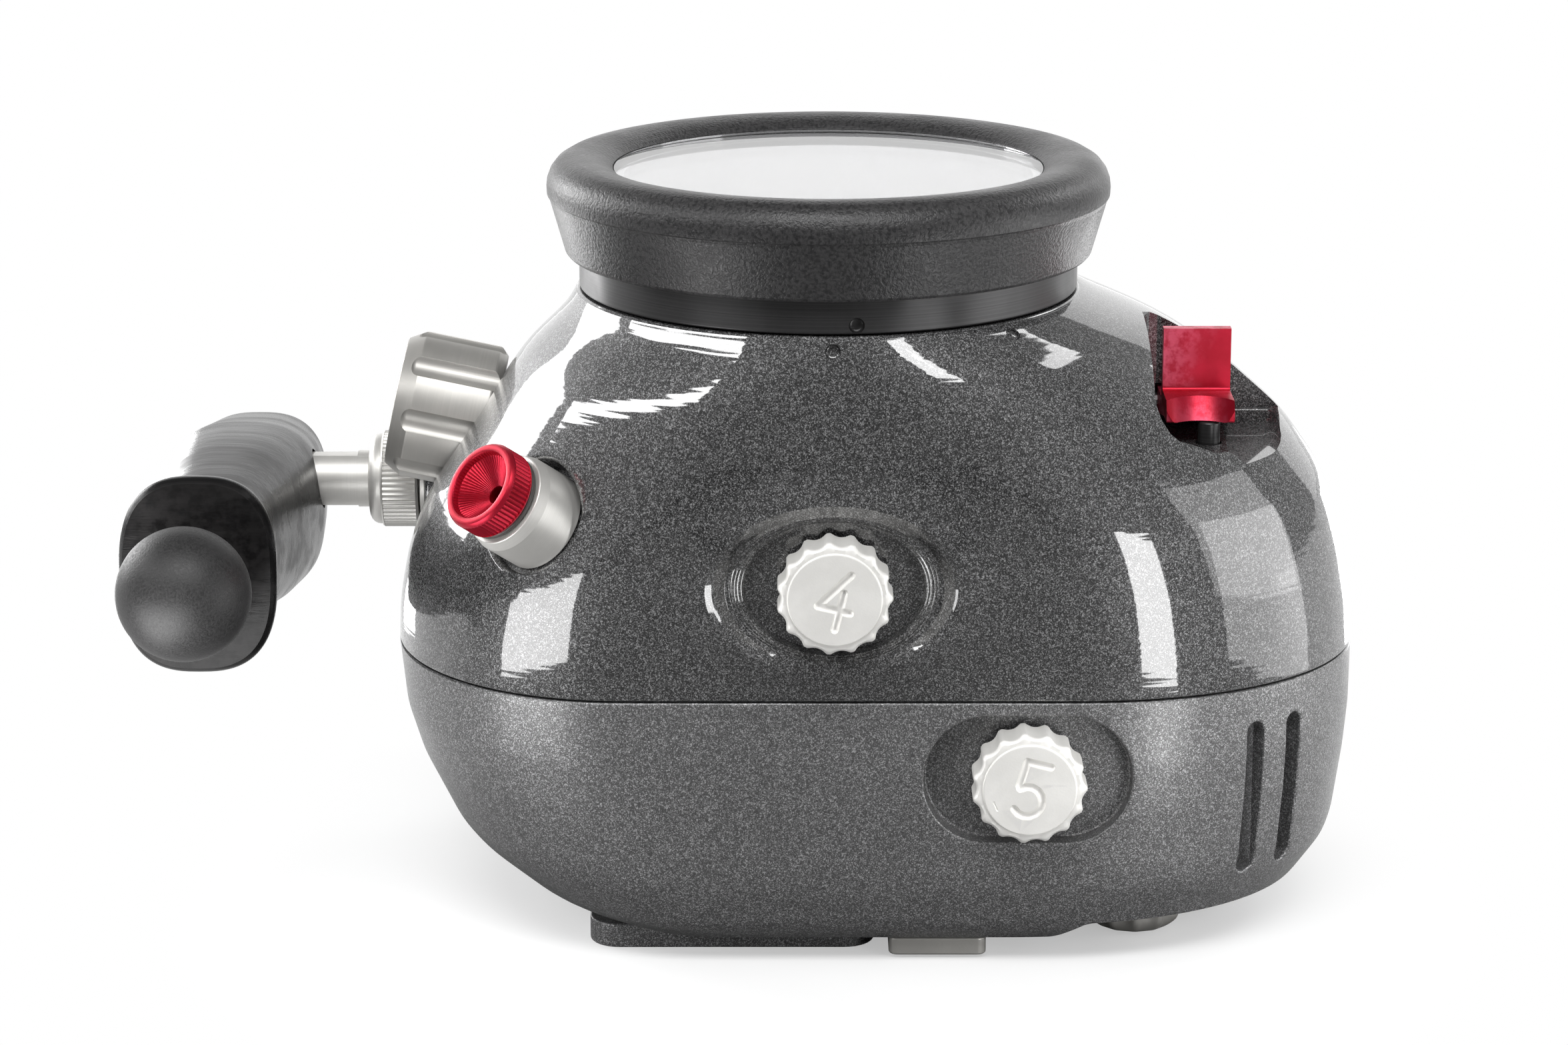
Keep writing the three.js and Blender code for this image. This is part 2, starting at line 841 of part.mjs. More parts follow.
// The floor's right edge curves up into the wall
function pocketRing(narrower, z) {
  return pocketShares.map(([across, forward]) => new THREE.Vector3(
    Math.min(mix(pocketLeft, pocketRight, across), pocketRight - narrower),
    mix(pocketBack, -pocketTop, forward), z));
}

function shutterPocket() {
  const pocket = lofted([
    pocketRing(pocketFillet, pocketFloor),
    pocketRing(pocketFillet / 3, pocketFloor + pocketFillet / 3),
    pocketRing(0, pocketFloor + pocketFillet),
    pocketRing(0, neckTop + overrun),
  ]);
  const slot = block(
    pocketLeft, leverRight + 2 * fit, -pocketCorner, hubY + hubRadius + 2 * fit,
    pocketFloor, hubZ + hubRadius + 3 * fit);
  const middle = new THREE.Matrix4().makeTranslation(plungerX, plungerY, 0);
  return join(
    toSolid(pocket),
    slot,
    rod(plungerWell, plungerSeat, pocketFloor + fit, middle),
    rod(plungerGland + fit, pocketFloor - frontDepth / 2, plungerSeat, middle),
    rod(pivotRadius + fit, pocketLeft - pivotGrip, leverRight + pivotGrip, alongX(hubY, hubZ), tinySides));
}

function shutterBoss() {
  const shape = roundedBox(
    pocketLeft - pocketSkin, rightHalf, -topHalf - overrun, hubY + hubRadius + pocketSkin, pocketCorner);
  return extruded(shape, plungerSeat - pocketSkin, neckTop);
}

// Front half
function makeFrontShell() {
  const outer = frontOuter();
  const sleeve = rod(neckRadius - 2 * fit, neckTop - sleeveDepth, neckTop - 2 * fit, null, turnSides);
  const bosses = join(
    sleeve,
    extruded(
      roundedBox(-apertureStepX, apertureStepX, -apertureStepZ, apertureStepZ, apertureStepZ / 2),
      -pocketWall - apertureStepDepth, overrun * 2, apertureFrame),
    rod(zoomPocketRadius + wall / 2, -wall, overrun * 3, zoomFrame),
    rod(syncBoss, -bushingLength + bushingSeat, 0, syncFrame),
    shutterBoss(),
    lockFrontBoss());
  const shell = join(
    cut(outer, frontCavity()),
    bosses.intersect(outer),
    rod(handleBoss, -handleBossDepth, 0, handleFrame, midSides),
    hingeKnuckles(true));
  const slots = lugAngles(portTurn).map((angle) => sector(
    neckBore - fit, channelRadius, angle, lugSlotArc,
    neckTop - channelTop - fit, neckTop + overrun));
  const neckCut = join(
    rod(neckBore, neckTop - sleeveDepth - overrun, neckTop + overrun, null, turnSides),
    ring(
      neckBore - fit, channelRadius,
      neckTop - channelTop - channelHeight, neckTop - channelTop, null, turnSides),
    ...slots);
  return cut(
    shell,
    neckCut,
    ovalRecess(apertureOvalX, apertureOvalZ, 0, apertureFrame),
    ovalRecess(apertureStepX, apertureStepZ, apertureStepDepth, apertureFrame),
    glandBore(pocketWall + apertureStepDepth, apertureFrame),
    rod(zoomPocketRadius, 0, zoomLength + overrun, zoomFrame, midSides),
    glandBore(wall, zoomFrame),
    rod(bushingRadius + syncPocketGap, -bushingLength + 2 * bushingSeat, overrun * 3, syncFrame, midSides),
    rod(bushingBore + 2 * fit + barrelWall / 2, -bushingLength - overrun, 0, syncFrame),
    shutterPocket(),
    rod(socketRadius + fit, -socketLength - overrun, overrun, handleFrame),
    rod(lockShaft + lockSocketGap, seam - overrun, seam + lockReach + 1.5 * lockSocketGap, lockFrame),
    hingeClearance(true));
}

// Hinge on the base side
const hingeY = baseHalf + hingeOffset;
const hingeHalf = hingeMiddle / 2;
const hingeEnd = hingeHalf + fit + hingeKnuckle;
const hingeFrame = alongX(hingeY, seam);

function knuckleSpans(isFront) {
  if (isFront) return [[hingeX - hingeHalf, hingeX + hingeHalf]];
  return [
    [hingeX - hingeEnd, hingeX - hingeHalf - fit],
    [hingeX + hingeHalf + fit, hingeX + hingeEnd],
  ];
}

function hingeKnuckles(isFront) {
  const parts = knuckleSpans(isFront).map(([start, end]) => {
    const low = isFront ? seam + fit / 2 : seam - hingeWeb;
    const high = isFront ? seam + hingeWeb : seam - fit / 2;
    const knuckle = rod(hingeRadius, start, end, hingeFrame);
    const web = block(start, end, baseHalf - wall, hingeY, low, high);
    return join(knuckle, web);
  });
  return cut(join(...parts), rod(hingeBore, hingeX - hingeEnd - fit, hingeX + hingeEnd + fit, hingeFrame, tinySides));
}

// Room for the other half's knuckles
function hingeClearance(isFront) {
  const rooms = knuckleSpans(!isFront).map(([start, end]) =>
    rod(hingeRadius + fit * 2, start - fit, end + fit, hingeFrame));
  return join(...rooms, rod(hingeBore, hingeX - hingeEnd - fit, hingeX + hingeEnd + fit, hingeFrame, tinySides));
}

// Closing screw
const lockFrame = new THREE.Matrix4().makeTranslation(lockX, lockY, 0);
function lockFrontBoss() {
  const web = block(
    lockX - lockBoss, lockX + lockBoss, -topHalf - overrun, lockY, seam + fit / 2, seam + lockBossHeight);
  return join(rod(lockBoss, seam + fit / 2, seam + lockBossHeight, lockFrame), web);
}

// Rear half
function windowPlate(width, height, x, y, grow, bottom, top) {
  const shape = roundedBox(
    x - width / 2 - grow, x + width / 2 + grow, y - height / 2 - grow, y + height / 2 + grow,
    windowMargin);
  return extruded(shape, bottom, top, null, coarseArc);
}

const windowBottom = windowInset + windowRing + fit;
const windowSeat = windowBottom + windowThickness + fit;

function windowCut(width, height, x, y) {
  return join(
    windowPlate(width, height, x, y, fit, -overrun, windowSeat),
    windowPlate(width - 2 * windowMargin, height - 2 * windowMargin, x, y, 0, 0, rearDepth / 2));
}

function rearFramePlate() {
  const lowest = 0;
  const top = rearFace + fit;
  const plate = roundedBox(
    -framePlateLeft, framePlateRight, -framePlateMid, framePlateBase, frameCorner);
  const brow = roundedBox(-frameBrowLeft, frameBrowRight, -frameBrowTop, 0, frameCorner);
  const footprint = rearLevel(rearDepth - rearFace - frameSink);
  const prism = toSolid(lofted([
    outlineRing(footprint, 0, lowest - overrun), outlineRing(footprint, 0, top + overrun)]));
  return join(extruded(plate, lowest, top), extruded(brow, lowest, top)).intersect(prism);
}

function thumbRecess() {
  const shape = polygon([
    [thumbStart, rearFace], [thumbStart + thumbSlope, thumbFace], [rightHalf + overrun, thumbFace],
    [rightHalf + overrun, -overrun], [thumbStart, -overrun],
  ]);
  const frame = frameAt(0, 2 * baseHalf, 0, axisY.clone().negate(), axisZ);
  return extruded(shape, 0, 4 * baseHalf, frame);
}

// Tunnel behind the strap bar, open at two slots. Local x runs along the face, y outward.
function strapTunnel() {
  const near = strapPitch / 2 - strapSlotWidth / 2;
  const far = strapPitch / 2 + strapSlotWidth / 2;
  const shape = polygon([
    [-far, overrun], [-far, -strapDepth], [far, -strapDepth], [far, overrun],
    [near, overrun], [near, -strapBar], [-near, -strapBar], [-near, overrun],
  ]);
  return extruded(shape, -strapLength, 0, strapFrame);
}

function strapCornerBlock() {
  return block(
    -strapBlock, strapBlock, -strapBlock, strapBlock,
    -strapLength - pocketWall, strapBelowSeam - fit / 2, strapFrame);
}

// Rear push buttons, their places in columns and rows
const buttonPlaces = [
  { name: 'function_button', column: 0, row: 0 },
  { name: 'menu_button', column: 0, row: 1 },
  { name: 'playback_button', column: 0, row: 2 },
  { name: 'record_button', column: 1, row: 0.5 },
  { name: 'select_button', column: 1, row: 1.6 },
];

function buttonFrame(place) {
  return new THREE.Matrix4().makeTranslation(
    buttonX + place.column * buttonPitchX, buttonY + place.row * buttonPitchY, 0);
}

function buttonWell(place) {
  const frame = buttonFrame(place);
  return join(
    rod(buttonRadius + fit, thumbFace - overrun, thumbFace + buttonWellDepth, frame),
    rod(buttonStem + fit, thumbFace, thumbFace + thumbWall + overrun, frame, tinySides));
}

function makeRearShell() {
  const outer = rearOuter();
  const thumbFloor = block(
    thumbStart - thumbSlope, rightHalf, -topHalf - overrun, baseHalf + overrun,
    rearFace, thumbFace + thumbWall);
  const bosses = join(
    thumbFloor,
    strapCornerBlock(),
    extruded(
      roundedBox(
        -speedHalfWidth - speedBossWall, speedHalfWidth + speedBossWall,
        -speedHalfHeight - speedBossWall, speedHalfHeight + speedBossWall, speedHalfHeight / 2),
      -pocketWall, overrun * 2, speedFrame));
  const shell = join(
    cut(outer, rearCavity()),
    bosses.intersect(outer),
    rearFramePlate(),
    trayFeet(),
    basePad(),
    hingeKnuckles(false));
  const grooveTop = seam + overrun;
  const level = rearLevel(0);
  const groove = cut(
    toSolid(lofted([
      outlineRing(level, grooveInset, seam - grooveDepth), outlineRing(level, grooveInset, grooveTop)])),
    toSolid(lofted([
      outlineRing(level, grooveInset + grooveWidth, seam - grooveDepth - overrun),
      outlineRing(level, grooveInset + grooveWidth, grooveTop + overrun)])));
  return cut(
    shell,
    groove,
    thumbRecess(),
    stadiumRecess(speedHalfWidth, speedHalfHeight, 0, speedFrame),
    glandBore(pocketWall, speedFrame),
    glandBore(thumbWall, dialFrame),
    windowCut(monitorWidth, monitorHeight, monitorX, monitorY),
    windowCut(eyepieceWidth, eyepieceHeight, eyepieceX, eyepieceY),
    ...buttonPlaces.map(buttonWell),
    strapTunnel(),
    rod(lockShaft + fit, -overrun, rearFace + floorThickness + overrun, lockFrame),
    rod(insertRadius + fit, -overrun, insertDepth + fit, insertFrame),
    hingeClearance(false));
}

// Tray feet grow from the base wall
const trayBack = trayY + trayThickness;
function trayFeet() {
  const feet = [-1, 1].map((side) => {
    const x = trayX + side * (trayWidth / 2 - trayFoot);
    return block(
      x - trayFoot / 2, x + trayFoot / 2, trayBack + fit, baseHalf - wall / 2,
      trayRise - trayHeight / 4, trayRise + trayHeight / 4);
  });
  return join(...feet);
}

const baseFrame = frameAt(baseX, baseHalf + baseProud, baseRise, axisY.clone(), axisZ);
const insertFrame = frameAt(baseX, baseHalf + baseProud, baseRise, axisY.clone().negate(), axisZ);
function basePad() {
  const shape = roundedBox(-baseWidth / 2, baseWidth / 2, -baseHeight / 2, baseHeight / 2, frameCorner);
  const pad = extruded(shape, -baseProud - wall, 0, baseFrame);
  const backing = rod(insertRadius + wall, -insertDepth - insertBacking, -baseProud, baseFrame);
  return join(pad, backing);
}

// Port
function makePortParts() {
  const flangeFoot = neckTop + fit;
  const barrelRadius = neckBore - fit;
  const barrelBore = barrelRadius - barrelWall;
  const barrelFoot = neckTop - barrelBelow;
  const grooveFoot = barrelFoot + sealRise;
  const glassTop = shadeTop - crownHeight / 2 + fit;
  const glassFoot = glassTop - glassThickness;
  const lugTop = neckTop - channelTop - (channelHeight - lugHeight) / 2;
  const ringBody = turned([
    [barrelBore, barrelFoot], [barrelRadius, barrelFoot],
    [barrelRadius, grooveFoot], [barrelRadius - sealDepth, grooveFoot],
    [barrelRadius - sealDepth, grooveFoot + sealWidth], [barrelRadius, grooveFoot + sealWidth],
    [barrelRadius, flangeFoot], [collarRadius, flangeFoot], [collarRadius, glassTop],
    [glassRadius + fit, glassTop], [glassRadius + fit, glassFoot - fit],
    [barrelBore, glassFoot - fit], [barrelBore, barrelFoot],
  ], null, turnSides);
  const lugs = lugAngles(0).map((angle) => sector(
    barrelRadius - fit, channelRadius - fit, angle, lugArc, lugTop - lugHeight, lugTop));
  const sealMiddle = grooveFoot + sealWidth / 2;
  const sealCentre = barrelRadius - sealDepth + portSealRadius + fit / 3;
  const portSeal = turned(sectionPoints(sealCentre, sealMiddle, portSealRadius, sealSides), null, turnSides);
  const lipFoot = glassTop + fit;
  const shadeBore = collarRadius + fit;
  const crown = crownShares.map(([across, up]) => [
    mix(openingRadius, shadeRadius, across), mix(shadeWideZ, shadeTop, up)]);
  const shade = turned([
    [shadeBore, shadeFootZ], [shadeFoot - rimChamfer, shadeFootZ], [shadeFoot, shadeFootZ + rimChamfer],
    ...crown,
    [openingRadius, lipFoot], [shadeBore, lipFoot], [shadeBore, shadeFootZ],
  ], null, turnSides);
  const pane = turned([
    [0, glassFoot], [glassRadius, glassFoot], [glassRadius, glassTop - glassBevelDrop],
    [glassRadius - glassBevel, glassTop], [0, glassTop],
  ], null, turnSides);
  return [
    piece('port_ring', join(ringBody, ...lugs), blackAnodised),
    piece('port_o_ring', portSeal, rubber),
    piece('port_glass', pane, glass),
    piece('port_shade', shade, rubber),
  ];
}

// Crown of the port shade: shares across from the opening to the widest line, and up
const crownShares = [
  [1, 0], [0.98, 0.36], [0.88, 0.76], [0.68, 0.97], [0.42, 1], [0.16, 0.85], [0, 0.66],
];

// Round section as a closed profile, counter-clockwise
function sectionPoints(radius, height, sectionRadius, sides) {
  const points = [];
  for (let i = 0; i <= sides; i++) {
    const angle = i % sides / sides * 2 * Math.PI;
    points.push([radius + sectionRadius * Math.cos(angle), height + sectionRadius * Math.sin(angle)]);
  }
  return points;
}

// Main seal: a ring of round section that follows the seam outline
function makeMainSeal() {
  const middle = outlineRing(rearLevel(0), grooveInset + grooveWidth / 2, seam - grooveDepth / 2);
  const positions = [];
  const indices = [];
  const count = middle.length;
  for (let i = 0; i < count; i++) {
    const before = middle[(i + count - 1) % count];
    const after = middle[(i + 1) % count];
    const along = after.clone().sub(before).normalize();
    const out = new THREE.Vector3(along.y, -along.x, 0);
    for (let k = 0; k < sealSides; k++) {
      const angle = k / sealSides * 2 * Math.PI;
      const point = middle[i].clone()
        .addScaledVector(out, sealRadius * Math.cos(angle))
        .addScaledVector(axisZ, sealRadius * Math.sin(angle));
      positions.push(point.x, point.y, point.z);
      const a = i * sealSides + k;
      const b = i * sealSides + (k + 1) % sealSides;
      const c = (i + 1) % count * sealSides + (k + 1) % sealSides;
      const d = (i + 1) % count * sealSides + k;
      indices.push(a, c, b, a, d, c);
    }
  }
  const geometry = new THREE.BufferGeometry();
  geometry.setAttribute('position', new THREE.Float32BufferAttribute(positions, 3));
  geometry.setIndex(indices);
  return piece('main_o_ring', toSolid(geometry), rubber);
}

// Sync port. Local heights: 0 is the outer face of the bushing.
function makeSyncParts() {
  const group = new THREE.Group();
  const seatDepth = -bushingLength + 2 * bushingSeat;
  const bushing = cut(
    turned([
      [0, -bushingLength], [bushingBore + barrelWall / 2, -bushingLength],
      [bushingBore + barrelWall / 2, seatDepth + fit], [bushingRadius, seatDepth + fit],
      [bushingRadius, -bushingChamfer], [bushingFaceRadius, 0], [0, 0],
    ], null, midSides),
    rod(bushingBore, -plugStemLength - syncContactLength - 2 * fit, overrun, null, smallSides));
  const foot = plugSealHeight + fit;
  const top = foot + plugHeight;
  const funnelTop = top - plugMouthDepth;
  const plug = turned([
    [0, -plugStemLength], [plugStemRadius, -plugStemLength], [plugStemRadius, foot],
    [plugRadius, foot], [plugRadius, top - rimChamfer], [plugFaceRadius, top], [plugMouth, top],
    [plugMouth, funnelTop], [plugHole, funnelTop - plugConeDepth],
    [plugHole, -plugStemLength / 2], [0, -plugStemLength / 2],
  ], null, midSides);
  const seal = ring(plugStemRadius + fit, plugSealRadius, fit / 2, plugSealHeight + fit / 2, null, midSides);
  const contact = rod(
    bushingBore - fit, -plugStemLength - syncContactLength - fit, -plugStemLength - fit, null, smallSides);
  group.add(
    piece('sync_bulkhead', bushing, silver),
    piece('sync_plug', plug, redAnodised),
    piece('sync_plug_o_ring', seal, rubber),
    piece('sync_contact', contact, polymer));
  group.applyMatrix4(syncFrame);
  return group;
}

// Shutter lever and what it presses
function makeShutterParts() {
  const padFront = leverPlateY - padReach;
  const plateTop = pocketFloor + leverTop;
  const profile = new THREE.Shape();
  profile.moveTo(padFront, padBottom);
  profile.lineTo(plungerY + plungerHead + fit, padBottom);
  profile.lineTo(hubY, hubZ - hubRadius);
  profile.absarc(hubY, hubZ, hubRadius, -Math.PI / 2, Math.PI / 2, false);
  profile.lineTo(leverPlateY + leverPlate, hubZ + hubRadius);
  profile.lineTo(leverPlateY + leverPlate, plateTop);
  profile.lineTo(leverPlateY, plateTop);
  profile.lineTo(leverPlateY, padBottom + padThickness);
  profile.lineTo(padFront, padBottom + padThickness);
  profile.closePath();
  // Local x of the profile is Y, local y is Z, and the extrusion runs along X.
  const frame = new THREE.Matrix4().makeBasis(axisY, axisZ, axisX);
  const hollowRadius = (leverWidth ** 2 / 4 + padHollow ** 2) / (2 * padHollow);
  const hollow = new THREE.Matrix4().makeRotationX(-Math.atan2(padHollow, padThickness));
  hollow.setPosition((leverLeft + leverRight) / 2, padFront - hollowRadius, padBottom);
  const lever = cut(
    extruded(profile, leverLeft, leverRight, frame, midArc),
    rod(pivotRadius + fit, leverLeft - overrun, leverRight + overrun, alongX(hubY, hubZ), tinySides),
    rod(hollowRadius, -2 * padThickness, 3 * padThickness, hollow, turnSides));
  const pin = rod(
    pivotRadius, pocketLeft - pivotGrip + fit, leverRight + pivotGrip - fit, alongX(hubY, hubZ), tinySides);
  const middle = new THREE.Matrix4().makeTranslation(plungerX, plungerY, 0);
  const plunger = join(
    rod(plungerHead, plungerHeadFoot, plungerTop, middle),
    rod(plungerRadius, plungerTop - plungerLength, plungerTop - fit, middle, tinySides));
  const glandFoot = plungerSeat - pocketSkin - fit;
  const gland = join(
    ring(plungerRadius + fit, plungerGland, glandFoot - fit, plungerSeat - fit, middle, smallSides),
    ring(plungerRadius + fit, plungerGlandFlange, glandFoot - glandFlangeHeight, glandFoot, middle, smallSides));
  const spring = toSolid(
    coilSpring(
      (plungerRadius + plungerWell) / 2, plungerSeat - fit + springGap, plungerHeadFoot - springGap),
    middle);
  return [
    piece('shutter_lever', lever, redAnodised),
    piece('shutter_pivot_pin', pin, steel),
    piece('shutter_plunger', plunger, blackAnodised),
    piece('shutter_gland', gland, steel),
    piece('shutter_spring', spring, steel),
  ];
}

// Handle. Local heights of the frame: 0 is the seat on the housing, positive is outward.
// Sections of the grip: place along it, half width, half height
const gripShares = [
  [0, 0.93, 0.94], [0.012, 1, 1], [0.035, 1, 1], [0.055, 0.9, 0.92], [0.11, 0.77, 0.8],
  [0.2, 0.73, 0.75], [0.36, 0.85, 0.84], [0.52, 0.99, 0.92], [0.68, 1.08, 0.95], [0.82, 1, 0.88],
  [0.92, 0.93, 0.84], [0.97, 0.84, 0.78], [1, 0.66, 0.64],
];
const gripPoints = 16;
const gripPower = 2.7;

function gripRing(place, width, height) {
  const points = [];
  for (let i = 0; i < gripPoints; i++) {
    const angle = i / gripPoints * 2 * Math.PI;
    const bend = (value) => Math.sign(value) * Math.abs(value) ** (2 / gripPower);
    points.push(new THREE.Vector3(
      gripHalfWidth * width * bend(Math.cos(angle)),
      gripHalfHeight * height * bend(Math.sin(angle)),
      place * (gripNear + gripFar)));
  }
  return points;
}

// Rounding of the nut's collar: shares inward and up
const nutCollarShares = [[0, 0], [0, 0.45], [0.4, 0.8], [1, 1]];

function makeHandleParts() {
  const fixed = new THREE.Group();
  const socket = cut(
    join(
      rod(socketRadius, -socketLength, fit, null),
      rod(socketFlange, fit, fit + socketFlangeHeight, null, midSides)),
    rod(postRadius + fit, -socketLength - overrun, overrun, null));
  fixed.add(piece('handle_socket', socket, silver));
  const nutFoot = socketFlangeHeight + 2 * fit;
  const nutTop = nutFoot + nutLength;
  const collarTop = nutTop + nutCollarLength;
  const nut = turned([
    [postRadius + fit, nutFoot], [nutRadius - rimChamfer, nutFoot], [nutRadius, nutFoot + rimChamfer],
    [nutRadius, nutTop - rimChamfer], [nutRadius - rimChamfer, nutTop],
    ...nutCollarShares.map(([inward, up]) => [
      nutCollarRadius - inward * nutRounding, mix(nutTop, collarTop, up)]),
    [postRadius + fit, collarTop], [postRadius + fit, nutFoot],
  ], null, midSides);
  fixed.add(piece('handle_nut', nut, silver));
  fixed.applyMatrix4(handleFrame);

  // The swivelling part: local x is the frame's height axis turned, worked in place about the post
  const swivel = new THREE.Group();
  const gripMiddle = gripOffset;
  const coreSide = gripMiddle - coreWidth / 2;
  const post = join(
    rod(postRadius, -socketLength + fit, coreSide - fit, null, smallSides),
    rod(postSpigot, coreSide - 2 * fit, coreSide + postIntoCore, null, tinySides));
  const spigotHole = rod(postSpigot + fit, 0, coreSide + postIntoCore + fit, null, tinySides);
  // Grip frame: its z runs along the grip from the near end, its x outward, its y upward
  const gripFrame = new THREE.Matrix4().makeBasis(axisZ, axisY, axisX.clone().negate());
  gripFrame.setPosition(gripNear, -gripDrop, gripMiddle);
  const coreShape = (grow) => roundedBox(
    -coreWidth / 2 - grow, coreWidth / 2 + grow,
    gripDrop - coreAbove - grow, gripDrop + coreBelow + grow, 2 * rimChamfer);
  const length = gripNear + gripFar;
  const core = cut(
    extruded(coreShape(0), coreNearWall + fit, length - 2 * fit, gripFrame, 2),
    spigotHole,
    rod(ballSpigot + fit, 0, 2 * coreNearWall + fit, gripFrame, tinySides));
  const grip = cut(
    toSolid(lofted(gripShares.map(([place, w, h]) => gripRing(place, w, h))), gripFrame),
    extruded(coreShape(fit), coreNearWall, length + overrun, gripFrame, 2),
    rod(ballSpigot + fit, -overrun, coreNearWall + fit, gripFrame, tinySides),
    rod(postRadius + fit, 0, gripMiddle, null));
  const cap = extruded(
    roundedBox(-capWidth / 2, capWidth / 2, -capHeight / 2, capHeight / 2, capWidth / 3),
    length + fit, length + fit + capThickness, gripFrame, midArc);
  const ballRadius = ballDiameter / 2;
  const ballCentre = -ballRadius - ballStemLength;
  const ball = turned(ballProfile(ballCentre, ballRadius), gripFrame, midSides);
  swivel.add(
    piece('handle_post', post, silver),
    piece('handle_core', core, silver),
    piece('handle_grip', grip, gripFinish),
    piece('grip_end_cap', cap, gripFinish),
    piece('strobe_ball', ball, gripFinish));
  const turn = new THREE.Matrix4().makeRotationX(handleTilt);
  turn.setPosition(-handleSeatX, handleY, seam + handleRise);
  const toLocal = frameAt(0, 0, 0, axisX.clone().negate(), axisZ);
  swivel.applyMatrix4(turn.multiply(toLocal));
  const group = new THREE.Group();
  group.add(fixed, swivel);
  return group;
}

// Strobe ball on its stem, with a spigot into the core
const ballSteps = 8;
function ballProfile(centre, radius) {
  const points = [];
  const neckAngle = Math.asin(ballStem / radius);
  for (let i = 0; i <= ballSteps; i++) {
    const angle = Math.PI - i / ballSteps * (Math.PI - neckAngle);
    points.push([i === 0 ? 0 : radius * Math.sin(angle), centre + radius * Math.cos(angle)]);
  }
  points.push(
    [ballStem, -fit], [ballSpigot, -fit], [ballSpigot, 2 * coreNearWall], [0, 2 * coreNearWall]);
  return points;
}

// Windows and their rings
function makeWindowParts(name, width, height, x, y) {
  const pane = windowPlate(width, height, x, y, 0, windowBottom, windowBottom + windowThickness);
  const frame = cut(
    windowPlate(width, height, x, y, 0, windowInset, windowInset + windowRing),
    windowPlate(width - 2 * windowMargin, height - 2 * windowMargin, x, y, 0, -overrun, rearFace));
  return [
    piece(`${name}_window`, pane, glass),
    piece(`${name}_ring`, frame, blackAnodised),
  ];
}

// One push button: cup with a stem and clip, and its return spring
function makeButtonParts(place) {
  const frame = buttonFrame(place);
  const face = thumbFace - buttonProud;
  const rim = face + buttonHeight;
  const clipFoot = thumbFace + thumbWall + fit;
  const button = turned([
    [0, face], [buttonRadius - rimChamfer, face], [buttonRadius, face + rimChamfer], [buttonRadius, rim],
    [buttonHollow, rim], [buttonHollow, face + buttonFace], [buttonStem, face + buttonFace],
    [buttonStem, clipFoot], [buttonClip, clipFoot], [buttonClip, clipFoot + buttonClipHeight],
    [buttonStem, clipFoot + buttonClipHeight], [buttonStem, face + buttonStemLength],
    [0, face + buttonStemLength],
  ], frame, smallSides);
  const spring = toSolid(
    coilSpring(
      (buttonStem + buttonHollow) / 2, face + buttonFace + springGap,
      thumbFace + buttonWellDepth - springGap),
    frame);
  return [
    piece(place.name, button, silver),
    piece(`${place.name}_spring`, spring, steel),
  ];
}

// Closing screw and its block
function makeLockParts() {
  const blockFoot = 2 * fit;
  const headFoot = 0;
  const shape = roundedBox(
    lockBlockLeft, lockBlockLeft + lockBlockWidth, -lockBlockTop, -lockBlockTop + lockBlockDepth,
    lockBlockCorner);
  const plate = cut(
    extruded(shape, rearFace - lockBlockThickness + fit, rearFace - fit),
    rod(lockHeadRadius + fit, 0, headFoot + lockHeadHeight + fit, lockFrame, smallSides),
    rod(lockShaft + fit, 0, rearFace, lockFrame));
  const screw = cut(
    join(
      rod(lockHeadRadius, headFoot, headFoot + lockHeadHeight, lockFrame, smallSides),
      rod(lockShaft, headFoot + lockHeadHeight / 2, seam + lockReach, lockFrame)),
    block(
      lockX - lockHeadRadius - fit, lockX + lockHeadRadius + fit, lockY - lockSlot / 2, lockY + lockSlot / 2,
      headFoot - overrun, blockFoot + lockSlot));
  return [
    piece('lock_block', plate, silver),
    piece('lock_screw', screw, blackAnodised),
  ];
}

// Camera tray with its screw, and the tripod insert of the base
function makeTrayParts() {
  const frame = frameAt(trayX, trayBack, trayRise, axisY.clone(), axisZ);
  const shape = roundedBox(-trayWidth / 2, trayWidth / 2, -trayHeight / 2, trayHeight / 2, trayCorner);
  const slot = roundedBox(
    -traySlotWidth / 2, traySlotWidth / 2, -traySlotHeight / 2, traySlotHeight / 2,
    traySlotHeight / 2 - weld);
  shape.holes.push(slot);
  for (const side of [-1, 1]) {
    const x = side * (traySlotWidth / 2 + trayWindow / 2 + trayCorner);
    shape.holes.push(roundedBox(
      x - trayWindow / 4, x + trayWindow / 4, -trayHeight / 4, trayHeight / 4, trayCorner / 2));
  }
  const tray = extruded(shape, -trayThickness, 0, frame, coarseArc);
  const screw = join(
    rod(screwHead, fit, fit + screwHeadHeight, frame, smallSides),
    rod(screwRadius, -trayThickness - screwReach, fit * 2, frame, tinySides));
  const insert = cut(
    rod(insertRadius, fit, insertDepth, insertFrame),
    rod(insertBore, -fit, insertDepth - 2 * fit, insertFrame));
  return [
    piece('camera_tray', tray, blackAnodised),
    piece('tray_screw', screw, steel),
    piece('tripod_insert', insert, steel),
  ];
}

function makeHingePin() {
  const half = hingeEnd - fit;
  return piece('hinge_pin', rod(hingePinRadius, hingeX - half, hingeX + half, hingeFrame, tinySides), steel);
}

// A rotary control in its own frame
function makeControl(name, frame, size) {
  const group = new THREE.Group();
  rotaryControl(name, group, size);
  group.applyMatrix4(frame);
  return group;
}

